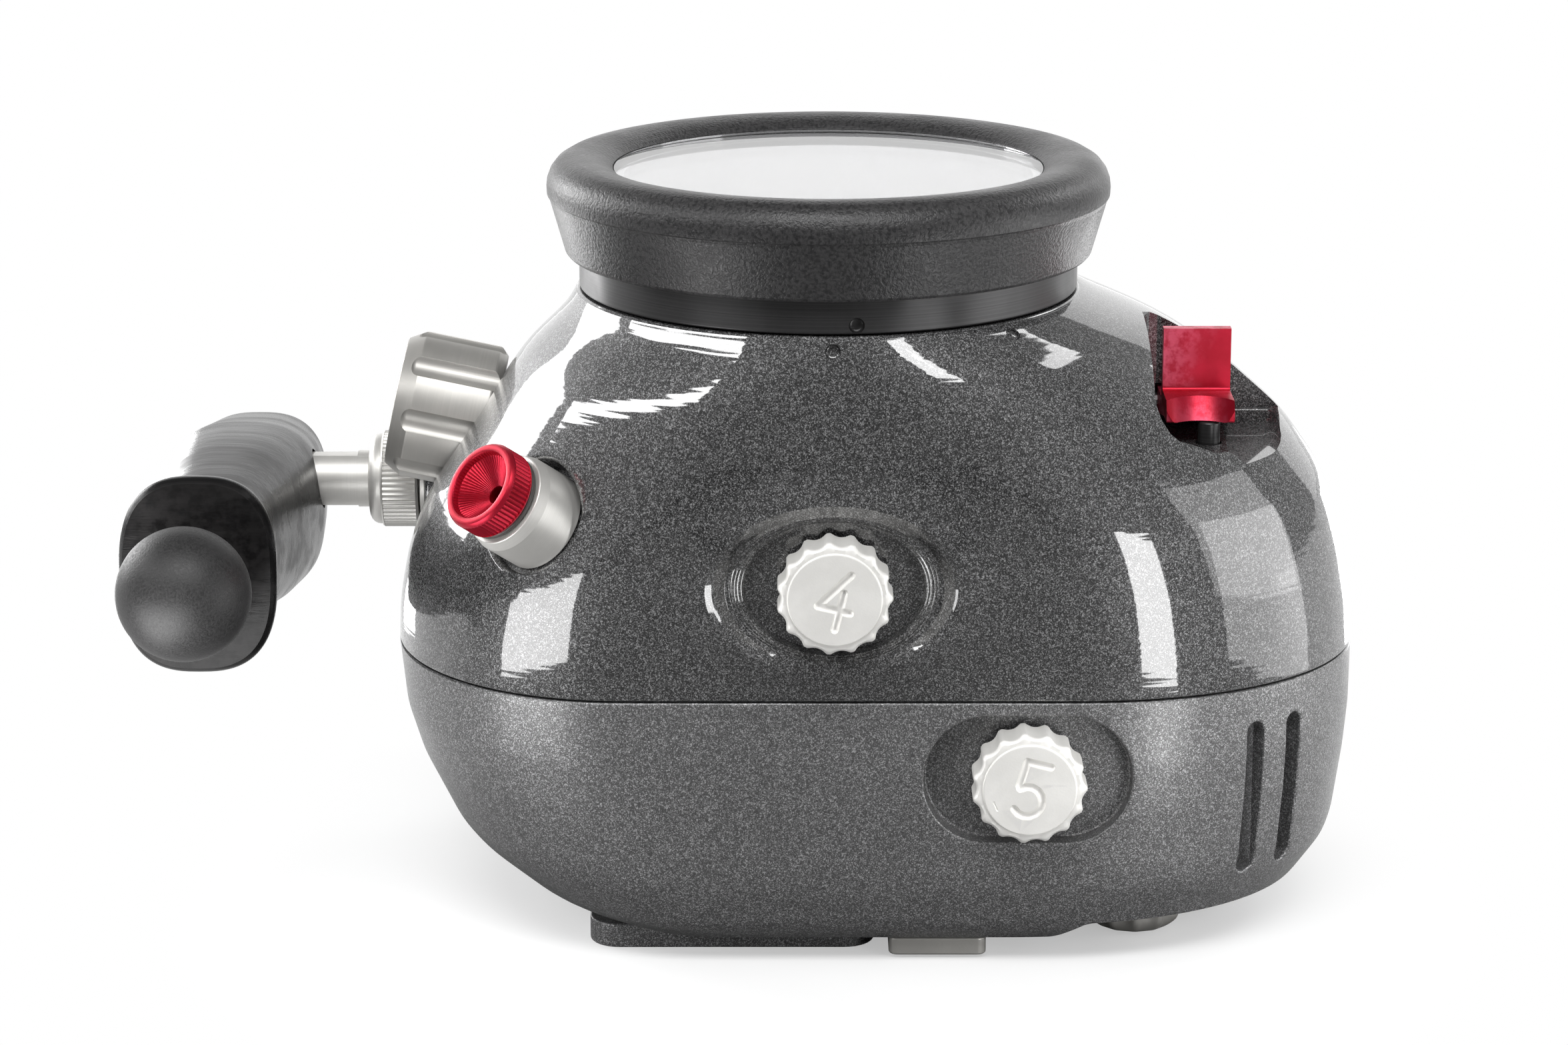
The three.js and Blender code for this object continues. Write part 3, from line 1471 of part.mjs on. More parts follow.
const housing = new THREE.Group();
housing.name = 'underwater_camera_housing';
housing.add(
  piece('rear_shell', makeRearShell(), lacquer),
  piece('front_shell', makeFrontShell(), lacquer),
  makeMainSeal(),
  ...makePortParts(),
  makeControl('aperture', apertureFrame, {
    wall: pocketWall + apertureStepDepth, height: knobHeight, reach: shaftReach, gap: wheelGap,
    knob: scallopedKnob(knobRadius, knobRadius - knobChamfer, knobHeight, plainDisc, scallopCount),
  }),
  makeControl('speed', speedFrame, {
    wall: pocketWall, height: knobHeight, reach: shaftReach, gap: wheelGap,
    knob: scallopedKnob(knobRadius, knobRadius - knobChamfer, knobHeight, plainDisc, scallopCount),
  }),
  makeControl('dial', dialFrame, {
    wall: thumbWall, height: dialHeight, reach: shaftReach, gap: wheelGap,
    knob: scallopedKnob(
      dialRadius, dialFaceRadius, dialHeight,
      {
        radius: dialFaceRadius - knobChamfer, rise: knobDiscRise / 2, bevel: dialHeight / 2, hollow: 0,
      },
      dialScallops),
  }),
  makeControl('zoom', zoomFrame, {
    wall, height: zoomLength, reach: zoomShaftReach, gap: zoomWheelGap,
    knob: flutedKnob,
  }),
  makeSyncParts(),
  ...makeShutterParts(),
  makeHandleParts(),
  ...makeWindowParts('monitor', monitorWidth, monitorHeight, monitorX, monitorY),
  ...makeWindowParts('eyepiece', eyepieceWidth, eyepieceHeight, eyepieceX, eyepieceY),
  ...buttonPlaces.flatMap(makeButtonParts),
  ...makeLockParts(),
  ...makeTrayParts(),
  makeHingePin());

export default housing;
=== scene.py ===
"""Looks of the underwater camera housing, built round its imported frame.

Shapes are worked in millimetres and scaled to metres when a piece is fitted.
"""

import json
import math

import bmesh
import bpy
import numpy as np
from mathutils import Matrix, Vector
from mathutils.bvhtree import BVHTree


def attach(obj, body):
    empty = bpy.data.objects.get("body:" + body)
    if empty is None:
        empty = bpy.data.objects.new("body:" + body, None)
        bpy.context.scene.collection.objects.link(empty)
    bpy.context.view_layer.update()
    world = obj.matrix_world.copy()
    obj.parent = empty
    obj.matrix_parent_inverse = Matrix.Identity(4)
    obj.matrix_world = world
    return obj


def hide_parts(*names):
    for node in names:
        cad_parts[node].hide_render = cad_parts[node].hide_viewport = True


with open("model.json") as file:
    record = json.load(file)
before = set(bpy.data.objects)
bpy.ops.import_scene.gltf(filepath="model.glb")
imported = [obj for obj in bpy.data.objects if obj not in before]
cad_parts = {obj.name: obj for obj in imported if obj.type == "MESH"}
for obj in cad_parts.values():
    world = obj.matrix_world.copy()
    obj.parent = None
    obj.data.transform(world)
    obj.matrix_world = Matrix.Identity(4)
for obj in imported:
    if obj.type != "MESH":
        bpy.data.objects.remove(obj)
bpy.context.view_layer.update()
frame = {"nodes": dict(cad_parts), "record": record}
nodes = frame["nodes"]
MM = 0.001
GAP = 0.3


# ---------------------------------------------------------------- outlines and profiles

def rounded(points, steps=5, loop=False):
    """Polyline whose points may carry a corner radius as their third number."""
    path = []
    count = len(points)
    for i, point in enumerate(points):
        radius = point[2] if len(point) > 2 else 0
        if not radius or (not loop and i in (0, count - 1)):
            path.append((point[0], point[1]))
            continue
        corner = Vector(point[:2])
        before = Vector(points[i - 1][:2]) - corner
        after = Vector(points[(i + 1) % count][:2]) - corner
        a, b = before.normalized(), after.normalized()
        half = math.acos(max(-1, min(1, a.dot(b)))) / 2
        reach = min(radius / math.tan(half), 0.49 * before.length, 0.49 * after.length)
        centre = corner + (a + b).normalized() * (reach * math.tan(half) / math.sin(half))
        start, end = corner + a * reach - centre, corner + b * reach - centre
        sweep = math.pi - 2 * half
        for k in range(steps + 1):
            t = k / steps
            v = (start * math.sin((1 - t) * sweep) + end * math.sin(t * sweep)) / math.sin(sweep)
            path.append((centre.x + v.x, centre.y + v.y))
    return path


def plate_outline(x0, x1, y0, y1, corner, steps=8):
    corner = min(corner, (x1 - x0) * 0.499, (y1 - y0) * 0.499)
    return rounded([(x0, y0, corner), (x1, y0, corner), (x1, y1, corner), (x0, y1, corner)], steps, True)


def oval_outline(half_width, half_height, count=120):
    angles = np.linspace(0, 2 * math.pi, count, endpoint=False)
    return np.stack([half_width * np.cos(angles), half_height * np.sin(angles)], 1)


def spaced(outline, step):
    """The same closed outline with points at an even distance."""
    path = np.asarray(outline, float)
    closed = np.vstack([path, path[:1]])
    lengths = np.r_[0, np.cumsum(np.linalg.norm(np.diff(closed, axis=0), axis=1))]
    places = np.linspace(0, lengths[-1], max(8, int(lengths[-1] / step)), endpoint=False)
    return np.stack([np.interp(places, lengths, closed[:, k]) for k in range(2)], 1)


def mix(a, b, share):
    return a + (b - a) * share


def area_of(path):
    """Area inside an outline, negative if it runs clockwise."""
    x, y = path[:, 0], path[:, 1]
    return .5 * float(np.sum(x * np.roll(y, -1) - np.roll(x, -1) * y))


def outward_normals(outline):
    """Away from the inside of a counter-clockwise outline."""
    path = np.asarray(outline, float)
    along = np.roll(path, -1, 0) - np.roll(path, 1, 0)
    along /= np.maximum(np.linalg.norm(along, axis=1, keepdims=True), 1e-9)
    return np.stack([along[:, 1], -along[:, 0]], 1)


def frame_at(place, outward, upward):
    """Local frame whose +Z points outward."""
    z = Vector(outward).normalized()
    x = Vector(upward).cross(z).normalized()
    matrix = Matrix((x, z.cross(x), z)).transposed().to_4x4()
    matrix.translation = Vector(place)
    return matrix


# ---------------------------------------------------------------- solids

def solid(name, points, faces):
    """Closed mesh object, still in millimetres."""
    mesh = bpy.data.meshes.new(name)
    mesh.from_pydata([tuple(map(float, p)) for p in points], [], faces)
    work = bmesh.new()
    work.from_mesh(mesh)
    bmesh.ops.recalc_face_normals(work, faces=work.faces)
    work.to_mesh(mesh)
    work.free()
    item = bpy.data.objects.new(name, mesh)
    bpy.context.scene.collection.objects.link(item)
    return item


def turned(name, profile, sides=96, loop=False):
    """Solid of revolution about Z; the profile ends on the axis, or is a loop."""
    points, starts, faces = [], [], []
    for radius, height in profile:
        starts.append(len(points))
        if radius < 1e-6:
            points.append((0, 0, height))
            continue
        for i in range(sides):
            angle = 2 * math.pi * i / sides
            points.append((radius * math.cos(angle), radius * math.sin(angle), height))
    rows = len(profile)
    for a in range(rows if loop else rows - 1):
        b = (a + 1) % rows
        on_axis = (profile[a][0] < 1e-6, profile[b][0] < 1e-6)
        for i in range(sides):
            j = (i + 1) % sides
            if on_axis == (False, False):
                faces.append((starts[a] + i, starts[a] + j, starts[b] + j, starts[b] + i))
            elif on_axis == (True, False):
                faces.append((starts[a], starts[b] + j, starts[b] + i))
            elif on_axis == (False, True):
                faces.append((starts[a] + i, starts[a] + j, starts[b]))
    return solid(name, points, faces)


def lofted(name, rings):
    """Closed skin through rings of equal point count, with flat ends."""
    rings = [np.asarray(r, float) for r in rings]
    count = len(rings[0])
    faces = [tuple(range(count))[::-1], tuple(range((len(rings) - 1) * count, len(rings) * count))]
    for level in range(len(rings) - 1):
        for i in range(count):
            a, b = level * count + i, level * count + (i + 1) % count
            faces.append((a, b, b + count, a + count))
    return solid(name, np.concatenate(rings), faces)


def slab(name, outline, bottom, top, edge=0.0):
    """Plate with its outline in XY and, if asked, rounded edges."""
    path = np.asarray(outline, float)
    inward = -outward_normals(path)
    levels = [(0, bottom), (0, top)]
    if edge:
        turns = [math.pi / 2 * k / 3 for k in range(4)]
        lower = [(edge * (1 - math.sin(t)), bottom + edge * (1 - math.cos(t))) for t in turns]
        levels = lower + [(inset, top + bottom - height) for inset, height in reversed(lower)]
    return lofted(name, [
        np.c_[path + inward * inset, np.full(len(path), height)] for inset, height in levels])


def drum(name, radius, bottom, top, sides=64):
    return turned(name, [(0, bottom), (radius, bottom), (radius, top), (0, top)], sides)


def bar(name, x0, x1, y0, y1, z0, z1):
    return slab(name, [(x0, y0), (x1, y0), (x1, y1), (x0, y1)], z0, z1)


def moved(item, place):
    item.data.transform(place)
    return item


def applied(item):
    graph = bpy.context.evaluated_depsgraph_get()
    mesh = bpy.data.meshes.new_from_object(item.evaluated_get(graph))
    item.modifiers.clear()
    item.data = mesh
    return item


def worked(item, *steps):
    """Joins and cuts, in order, each step an operation and its tool solids."""
    tools = []
    for operation, parts in steps:
        for part in parts if isinstance(parts, (list, tuple)) else [parts]:
            step = item.modifiers.new("step", "BOOLEAN")
            step.solver = "MANIFOLD"
            step.operation = operation
            step.object = part
            tools.append(part)
    applied(item)
    for part in tools:
        bpy.data.objects.remove(part)
    return item


def softened(item, width, segments=3, angle=30):
    edge = item.modifiers.new("soft edge", "BEVEL")
    edge.width = width
    edge.segments = segments
    edge.limit_method = "ANGLE"
    edge.angle_limit = math.radians(angle)
    edge.harden_normals = False
    return applied(item)


def fitted(item, body, material, stands_for=(), place=None, crease=32):
    """Scales a finished piece to metres, places and dresses it."""
    item.data.transform(Matrix.Scale(MM, 4))
    item.data.shade_smooth()
    item.data.set_sharp_from_angle(angle=math.radians(crease))
    item.data.materials.clear()
    item.data.materials.append(material)
    normals = item.modifiers.new("even normals", "WEIGHTED_NORMAL")
    normals.keep_sharp = True
    if place is not None:
        seat = place.copy()
        seat.translation = place.translation * MM
        item.matrix_world = seat
    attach(item, body)
    if stands_for:
        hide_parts(*stands_for)
    return item


# ---------------------------------------------------------------- finishes

def effect(name, inputs, outputs):
    """Empty shader group with named number inputs and outputs."""
    group = bpy.data.node_groups.new(name, "ShaderNodeTree")
    for label, value in inputs:
        socket = group.interface.new_socket(name=label, in_out="INPUT", socket_type="NodeSocketFloat")
        socket.default_value = value
    for label in outputs:
        group.interface.new_socket(name=label, in_out="OUTPUT", socket_type="NodeSocketFloat")
    tree = group.nodes
    return group, tree, group.links, tree.new("NodeGroupInput"), tree.new("NodeGroupOutput")


def math_node(tree, links, operation, a, b=None, clamp=False):
    step = tree.new("ShaderNodeMath")
    step.operation = operation
    step.use_clamp = clamp
    for socket, value in zip(step.inputs, (a, b)):
        if value is None:
            continue
        if isinstance(value, (int, float)):
            socket.default_value = value
        else:
            links.new(value, socket)
    return step.outputs[0]


def ranged(tree, links, value, low, high, to_low, to_high, smooth=True):
    step = tree.new("ShaderNodeMapRange")
    step.interpolation_type = "SMOOTHSTEP" if smooth else "LINEAR"
    links.new(value, step.inputs["Value"])
    for label, number in (("From Min", low), ("From Max", high), ("To Min", to_low), ("To Max", to_high)):
        step.inputs[label].default_value = number
    return step.outputs["Result"]


def noise_node(tree, links, vector, scale, detail=2.0, roughness=0.5):
    step = tree.new("ShaderNodeTexNoise")
    links.new(vector, step.inputs["Vector"])
    if isinstance(scale, (int, float)):
        step.inputs["Scale"].default_value = scale
    else:
        links.new(scale, step.inputs["Scale"])
    step.inputs["Detail"].default_value = detail
    step.inputs["Roughness"].default_value = roughness
    return step.outputs["Fac"]


def object_place(tree):
    return tree.new("ShaderNodeTexCoord").outputs["Object"]


def place_parts(tree, links):
    """X, Y and Z of the place on the piece."""
    split = tree.new("ShaderNodeSeparateXYZ")
    links.new(object_place(tree), split.inputs[0])
    return split.outputs


def place_of(tree, links, x, y, z):
    """Place put together from its three parts, of which any may be left out."""
    joined = tree.new("ShaderNodeCombineXYZ")
    for value, socket in zip((x, y, z), joined.inputs):
        if value is not None:
            links.new(value, socket)
    return joined.outputs[0]


def make_metal_flake():
    """Bright and dark flakes of two sizes under a clear coat."""
    group, tree, links, given, out = effect(
        "metal flake", [("Scale", 5200.0), ("Strength", 1.0)], ["Sparkle", "Shade"])
    place = object_place(tree)
    fine_size = given.outputs["Scale"]
    broad_size = math_node(tree, links, "MULTIPLY", fine_size, 0.6)
    flakes = []
    for size in (fine_size, broad_size):
        cells = tree.new("ShaderNodeTexVoronoi")
        links.new(place, cells.inputs["Vector"])
        links.new(size, cells.inputs["Scale"])
        split = tree.new("ShaderNodeSeparateColor")
        links.new(cells.outputs["Color"], split.inputs[0])
        flakes.append(split.outputs[0])
    bright = math_node(tree, links, "POWER", flakes[0], 6.0)
    broad = math_node(tree, links, "POWER", flakes[1], 9.0)
    both = math_node(tree, links, "ADD", bright, math_node(tree, links, "MULTIPLY", broad, 0.8), True)
    sparkle = math_node(tree, links, "MULTIPLY", both, given.outputs["Strength"], True)
    links.new(sparkle, out.inputs["Sparkle"])
    links.new(ranged(tree, links, flakes[1], 0.0, 1.0, 0.62, 1.25, False), out.inputs["Shade"])
    return group


def make_fine_grain():
    """Small even grain, as bead blasting or moulded rubber leaves it."""
    group, tree, links, given, out = effect("fine grain", [("Scale", 2600.0)], ["Grain", "Patches"])
    place = object_place(tree)
    grain = noise_node(tree, links, place, given.outputs["Scale"], 3.0, 0.6)
    links.new(ranged(tree, links, grain, 0.32, 0.68, 0, 1), out.inputs["Grain"])
    wide = math_node(tree, links, "MULTIPLY", given.outputs["Scale"], 0.045)
    patches = noise_node(tree, links, place, wide, 4.0, 0.55)
    links.new(ranged(tree, links, patches, 0.3, 0.7, 0, 1), out.inputs["Patches"])
    return group


def make_turned_lines():
    """Fine rings round the local Z axis, as a lathe leaves them."""
    group, tree, links, given, out = effect("turned lines", [("Scale", 5200.0)], ["Lines"])
    x, y, z = place_parts(tree, links)
    squares = [math_node(tree, links, "MULTIPLY", part, part) for part in (x, y)]
    radius = math_node(tree, links, "SQRT", math_node(tree, links, "ADD", *squares))
    place = place_of(tree, links, radius, None, z)
    links.new(noise_node(tree, links, place, given.outputs["Scale"], 2.0, 0.7), out.inputs["Lines"])
    return group


def make_drawn_lines():
    """Long fine lines along the local X axis, as brushing or sanding leaves them."""
    group, tree, links, given, out = effect(
        "drawn lines", [("Scale", 1500.0), ("Stretch", 0.03)], ["Lines", "Streaks"])
    x, y, z = place_parts(tree, links)
    place = place_of(tree, links, math_node(tree, links, "MULTIPLY", x, given.outputs["Stretch"]), y, z)
    lines = noise_node(tree, links, place, given.outputs["Scale"], 3.0, 0.65)
    links.new(lines, out.inputs["Lines"])
    wide = math_node(tree, links, "MULTIPLY", given.outputs["Scale"], 0.12)
    streaks = noise_node(tree, links, place, wide, 4.0, 0.6)
    links.new(ranged(tree, links, streaks, 0.42, 0.66, 0, 1), out.inputs["Streaks"])
    return group


def make_mill_rows():
    """Faint level rows, as a ball cutter leaves them under the paint."""
    group, tree, links, given, out = effect("mill rows", [("Scale", 1000.0), ("Stretch", 0.04)], ["Rows"])
    x, y, z = place_parts(tree, links)
    level = [math_node(tree, links, "MULTIPLY", part, given.outputs["Stretch"]) for part in (x, y)]
    place = place_of(tree, links, *level, z)
    links.new(noise_node(tree, links, place, given.outputs["Scale"], 1.0, 0.4), out.inputs["Rows"])
    return group


def make_worn_edge():
    """Mask of sharp outer edges, broken up by a little noise."""
    group, tree, links, given, out = effect(
        "worn edge", [("Start", 0.53), ("Breakup", 380.0)], ["Wear"])
    pointed = tree.new("ShaderNodeNewGeometry").outputs["Pointiness"]
    above = math_node(tree, links, "SUBTRACT", pointed, given.outputs["Start"])
    edge = math_node(tree, links, "MULTIPLY", above, 14.0, True)
    broken = noise_node(tree, links, object_place(tree), given.outputs["Breakup"], 3.0, 0.6)
    mask = ranged(tree, links, broken, 0.35, 0.6, 0.15, 1)
    links.new(math_node(tree, links, "MULTIPLY", edge, mask, True), out.inputs["Wear"])
    return group


metal_flake = make_metal_flake()
fine_grain = make_fine_grain()
turned_lines = make_turned_lines()
drawn_lines = make_drawn_lines()
mill_rows = make_mill_rows()
worn_edge = make_worn_edge()


class Finish:
    """One material: its plain shader numbers, and the effects that vary over the surface."""

    def __init__(self, name, **plain):
        self.material = bpy.data.materials.new(name)
        self.material.use_nodes = True
        self.tree = self.material.node_tree.nodes
        self.links = self.material.node_tree.links
        self.shader = self.tree["Principled BSDF"]
        for label, value in plain.items():
            self.shader.inputs[label.replace("_", " ")].default_value = value

    def effect(self, group, **values):
        step = self.tree.new("ShaderNodeGroup")
        step.node_tree = group
        for label, value in values.items():
            step.inputs[label].default_value = value
        return step.outputs

    def blend(self, mask, first, second):
        """Colour that goes from the first to the second with the mask."""
        step = self.tree.new("ShaderNodeMix")
        step.data_type = "RGBA"
        self.links.new(mask, step.inputs["Factor"])
        for socket, colour in ((step.inputs[6], first), (step.inputs[7], second)):
            if hasattr(colour, "is_linked"):
                self.links.new(colour, socket)
            else:
                socket.default_value = (*colour, 1)
        return step.outputs[2]

    def between(self, value, low, high, start=0.0, end=1.0):
        return ranged(self.tree, self.links, value, start, end, low, high, False)

    def feed(self, label, value):
        self.links.new(value, self.shader.inputs[label])
        return self

    def bump(self, height, strength, distance, layer="Normal"):
        step = self.tree.new("ShaderNodeBump")
        step.inputs["Strength"].default_value = strength
        step.inputs["Distance"].default_value = distance
        self.links.new(height, step.inputs["Height"])
        return self.feed(layer, step.outputs[0])


def lacquered(name, flake_colours, sparkle, roughness, **plain):
    """Flake lacquer, without what the coat alone gets."""
    finish = Finish(name, **plain)
    flake = finish.effect(metal_flake, Scale=6800.0, Strength=1.0)
    base = finish.blend(flake["Shade"], *flake_colours)
    finish.feed("Base Color", finish.blend(flake["Sparkle"], base, sparkle))
    grain = finish.effect(fine_grain, Scale=900.0)
    return finish.feed("Roughness", finish.between(grain["Patches"], *roughness))


def make_front_lacquer():
    finish = lacquered(
        "front lacquer", ((0.0, 0.0, 0.0002), (0.004, 0.004, 0.0044)), (0.30, 0.30, 0.305), (0.46, 0.56),
        Metallic=0.4, Roughness=0.45, Coat_Weight=1.0, Coat_Roughness=0.04, Coat_IOR=1.75)
    rows = finish.effect(mill_rows, Scale=900.0, Stretch=0.05)
    return finish.bump(rows["Rows"], 0.8, 0.00004, "Coat Normal").material


def make_rear_lacquer():
    return lacquered(
        "rear lacquer", ((0.01, 0.01, 0.0105), (0.07, 0.07, 0.071)), (0.42, 0.42, 0.425), (0.46, 0.58),
        Metallic=0.45, Roughness=0.5, Coat_Weight=0.6, Coat_Roughness=0.3, Coat_IOR=1.6).material


def make_turned_silver(name, dark, pale):
    finish = Finish(name, Metallic=0.6, Roughness=0.4)
    lines = finish.effect(turned_lines, Scale=5200.0)
    grain = finish.effect(fine_grain, Scale=1800.0)
    base = finish.blend(lines["Lines"], dark, pale)
    finish.feed("Base Color", finish.blend(grain["Patches"], dark, base))
    finish.feed("Roughness", finish.between(lines["Lines"], 0.34, 0.5))
    return finish.bump(lines["Lines"], 0.15, 0.00004).material


def make_black_anodised():
    finish = Finish("black anodised", Metallic=0.6, Roughness=0.34)
    lines = finish.effect(turned_lines, Scale=3800.0)
    grain = finish.effect(fine_grain, Scale=1500.0)
    finish.feed("Base Color", finish.blend(lines["Lines"], (0.012, 0.012, 0.0125), (0.075, 0.074, 0.075)))
    finish.feed("Roughness", finish.between(grain["Patches"], 0.28, 0.42))
    return finish.bump(lines["Lines"], 0.2, 0.00005).material


def make_steel():
    finish = Finish("steel", Metallic=0.95, Roughness=0.32)
    lines = finish.effect(turned_lines, Scale=4200.0)
    finish.feed("Base Color", finish.blend(lines["Lines"], (0.5, 0.5, 0.51), (0.7, 0.7, 0.71)))
    finish.feed("Roughness", finish.between(lines["Lines"], 0.26, 0.42))
    return finish.bump(lines["Lines"], 0.1, 0.00003).material


def make_grip_black():
    finish = Finish("sanded grip", Roughness=0.3, Specular_IOR_Level=0.16)
    lines = finish.effect(drawn_lines, Scale=900.0, Stretch=0.12)
    wear = finish.effect(worn_edge, Start=0.53)
    base = finish.blend(lines["Streaks"], (0.005, 0.0048, 0.005), (0.019, 0.0183, 0.0185))
    finish.feed("Base Color", finish.blend(wear["Wear"], base, (0.06, 0.057, 0.057)))
    finish.feed("Roughness", finish.between(lines["Streaks"], 0.22, 0.36))
    return finish.bump(lines["Lines"], 0.5, 0.00012).material


def make_grained(name, scale, colours, roughness, bump=None, colour_by="Patches", roughness_by="Grain",
                 wear=None, **plain):
    """Blasted, moulded or anodised finish. Wear is where worn edges start, and their colour."""
    finish = Finish(name, **plain)
    grain = finish.effect(fine_grain, Scale=scale)
    base = finish.blend(grain[colour_by], *colours)
    if wear:
        edge = finish.effect(worn_edge, Start=wear[0])
        base = finish.blend(edge["Wear"], base, wear[1])
    finish.feed("Base Color", base)
    finish.feed("Roughness", finish.between(grain[roughness_by], *roughness))
    if bump:
        finish.bump(grain["Grain"], *bump)
    return finish.material


def make_pane(name, dark, pale, **plain):
    """Clear glass, a little cloudy in its colour only."""
    finish = Finish(name, Transmission_Weight=1.0, **plain)
    grain = finish.effect(fine_grain, Scale=300.0)
    return finish.feed("Base Color", finish.blend(grain["Patches"], dark, pale)).material


front_lacquer = make_front_lacquer()
rear_lacquer = make_rear_lacquer()
blasted_silver = make_grained(
    "blasted silver", 2600.0, ((0.84, 0.83, 0.80), (0.92, 0.91, 0.88)), (0.44, 0.56), (0.12, 0.00005),
    wear=(0.54, (0.8, 0.79, 0.77)), Metallic=0.4, Roughness=0.48)
turned_silver = make_turned_silver("turned silver", (0.62, 0.61, 0.585), (0.82, 0.81, 0.78))
dull_silver = make_turned_silver("dull silver", (0.40, 0.39, 0.37), (0.55, 0.54, 0.51))
red_anodised = make_grained(
    "red anodised", 3200.0, ((0.36, 0.005, 0.02), (0.46, 0.009, 0.032)), (0.32, 0.44), (0.08, 0.00004),
    wear=(0.55, (0.75, 0.12, 0.2)), Metallic=0.7, Roughness=0.36)
black_anodised = make_black_anodised()
shade_rubber = make_grained(
    "shade rubber", 1500.0, ((0.014, 0.0138, 0.0145), (0.045, 0.044, 0.045)), (0.3, 0.4), (0.45, 0.00012),
    "Grain", "Patches", Roughness=0.36, Specular_IOR_Level=0.42)
seal_rubber = make_grained(
    "seal rubber", 1800.0, ((0.035, 0.03, 0.028), (0.075, 0.066, 0.062)), (0.42, 0.6), (0.2, 0.00005),
    Roughness=0.5, Specular_IOR_Level=0.5)
grip_black = make_grip_black()
ball_black = make_grained(
    "blasted black", 2400.0, ((0.010, 0.0098, 0.010), (0.024, 0.0235, 0.024)), (0.44, 0.6), (0.3, 0.00006),
    "Grain", Roughness=0.52, Specular_IOR_Level=0.5)
steel = make_steel()
polymer = make_grained(
    "contact polymer", 1800.0, ((0.03, 0.03, 0.032), (0.055, 0.055, 0.057)), (0.42, 0.58), Roughness=0.5)
port_pane = make_pane("port pane", (0.93, 0.93, 0.95), (0.97, 0.97, 0.98), Roughness=0.02, IOR=1.45)
window_pane = make_pane("window pane", (0.92, 0.94, 0.93), (0.97, 0.98, 0.98), Roughness=0.03, IOR=1.5)


# ---------------------------------------------------------------- body of the housing

# Height of the seam, half of the gap in it, and how far each half goes from it
SEAM = 54.5
SEAM_GAP = 0.15
REAR_FULL = 49.9
FRONT_HEIGHT = 70.5
NECK_TOP = SEAM + FRONT_HEIGHT
# Half widths at the seam, radius of the round neck, and how much the front half swells on its way
LEFT, RIGHT, TOP, BASE = 86.0, 105.2, 53.2, 55.0
NECK = 49.7
BULGE = 2.2
# Thickness of the walls and of the rim at the seam, and radius of the outer edges
WALL, RIM = 5.5, 9.5
EDGE = 0.45
PER_QUARTER = 96

# Height above the seam, growth to the left and right, share of each half width that is corner
front_shares = np.array([
    [0, 1, 1, .535], [.113, .992, .991, .54], [.262, .937, .96, .55], [.38, .848, .921, .57],
    [.482, .733, .876, .6], [.631, .532, .745, .66], [.745, .395, .582, .74], [.801, .325, .5, .79],
    [.844, .255, .425, .83], [.896, .14, .32, .89], [.936, .066, .2, .94], [.965, .028, .1, .97],
    [1, 0, 0, 1]])
# Depth below the seam, left, right and top half widths, corner
rear_shares = np.array([
    [0, 1, 1, 1, .535], [.25, .984, .998, 1.008, .535], [.431, .95, .99, 1.008, .54],
    [.691, .872, .972, .998, .55], [.772, .831, .96, .99, .56], [.932, .709, .905, .945, .58],
    [.976, .651, .875, .905, .59], [1, .61, .85, .875, .6]])


def faired(table, spread):
    """Each column as a smooth curve of the first, its ends kept."""
    places = np.linspace(0, 1, 401)
    pad = int(spread * 400 * 4)
    kernel = np.exp(-0.5 * (np.arange(-pad, pad + 1) / (spread * 400)) ** 2)
    columns = []
    for column in table.T[1:]:
        line = np.interp(places, table[:, 0], column)
        line = np.r_[2 * line[0] - line[pad:0:-1], line, 2 * line[-1] - line[-2:-pad - 2:-1]]
        columns.append(np.convolve(line, kernel / kernel.sum(), "valid"))
    return lambda share: [float(np.interp(share, places, c)) for c in columns]


front_curve = faired(front_shares, 0.03)
rear_curve = faired(rear_shares, 0.02)


def front_level(height):
    share = min(1, max(0, height / FRONT_HEIGHT))
    left, right, corner = front_curve(share)
    bulge = BULGE * 4 * share * (1 - share)
    return (mix(NECK, LEFT, left), mix(NECK, RIGHT, right), mix(NECK, TOP, right) + bulge,
            mix(NECK, BASE, right) + bulge, corner, mix(.95, 1, share))


def rear_level(depth):
    share = min(1, max(0, depth / REAR_FULL))
    left, right, top, corner = rear_curve(share)
    return LEFT * left, RIGHT * right, TOP * top, BASE * top, corner, mix(.95, .9, share)


def body_outline(level, inset=0.0, per_quarter=PER_QUARTER, soft=2.0):
    """Outline at one level: straight sides with elliptical corners, evenly spaced points."""
    left, right, top, base = (value - inset for value in level[:4])
    corner, depth = level[4:]
    parts = []
    turns = np.linspace(0, math.pi / 2, 49)
    for x, y, start in ((right, base, 0), (-left, base, 1), (-left, -top, 2), (right, -top, 3)):
        rx, ry = abs(x) * corner, abs(y) * depth
        angles = turns + start * math.pi / 2
        arc = np.stack([x - math.copysign(rx, x) + rx * np.cos(angles),
                        y - math.copysign(ry, y) + ry * np.sin(angles)], 1)
        ends = ([x, 0], [0, y]) if start % 2 == 0 else ([0, y], [x, 0])
        line = np.vstack([[ends[0]], arc, [ends[1]]])
        lengths = np.r_[0, np.cumsum(np.linalg.norm(np.diff(line, axis=0), axis=1))]
        places = np.linspace(0, lengths[-1], per_quarter, endpoint=False)
        parts.append(np.stack([np.interp(places, lengths, line[:, k]) for k in range(2)], 1))
    ring = np.vstack(parts)
    if soft:
        reach = int(soft * 4)
        kernel = np.exp(-0.5 * (np.arange(-reach, reach + 1) / soft) ** 2)
        kernel /= kernel.sum()
        shifts = range(-reach, reach + 1)
        ring = sum(weight * np.roll(ring, shift, 0) for shift, weight in zip(shifts, kernel))
    return ring


def at_height(outline, z):
    return np.c_[outline, np.full(len(outline), z)]


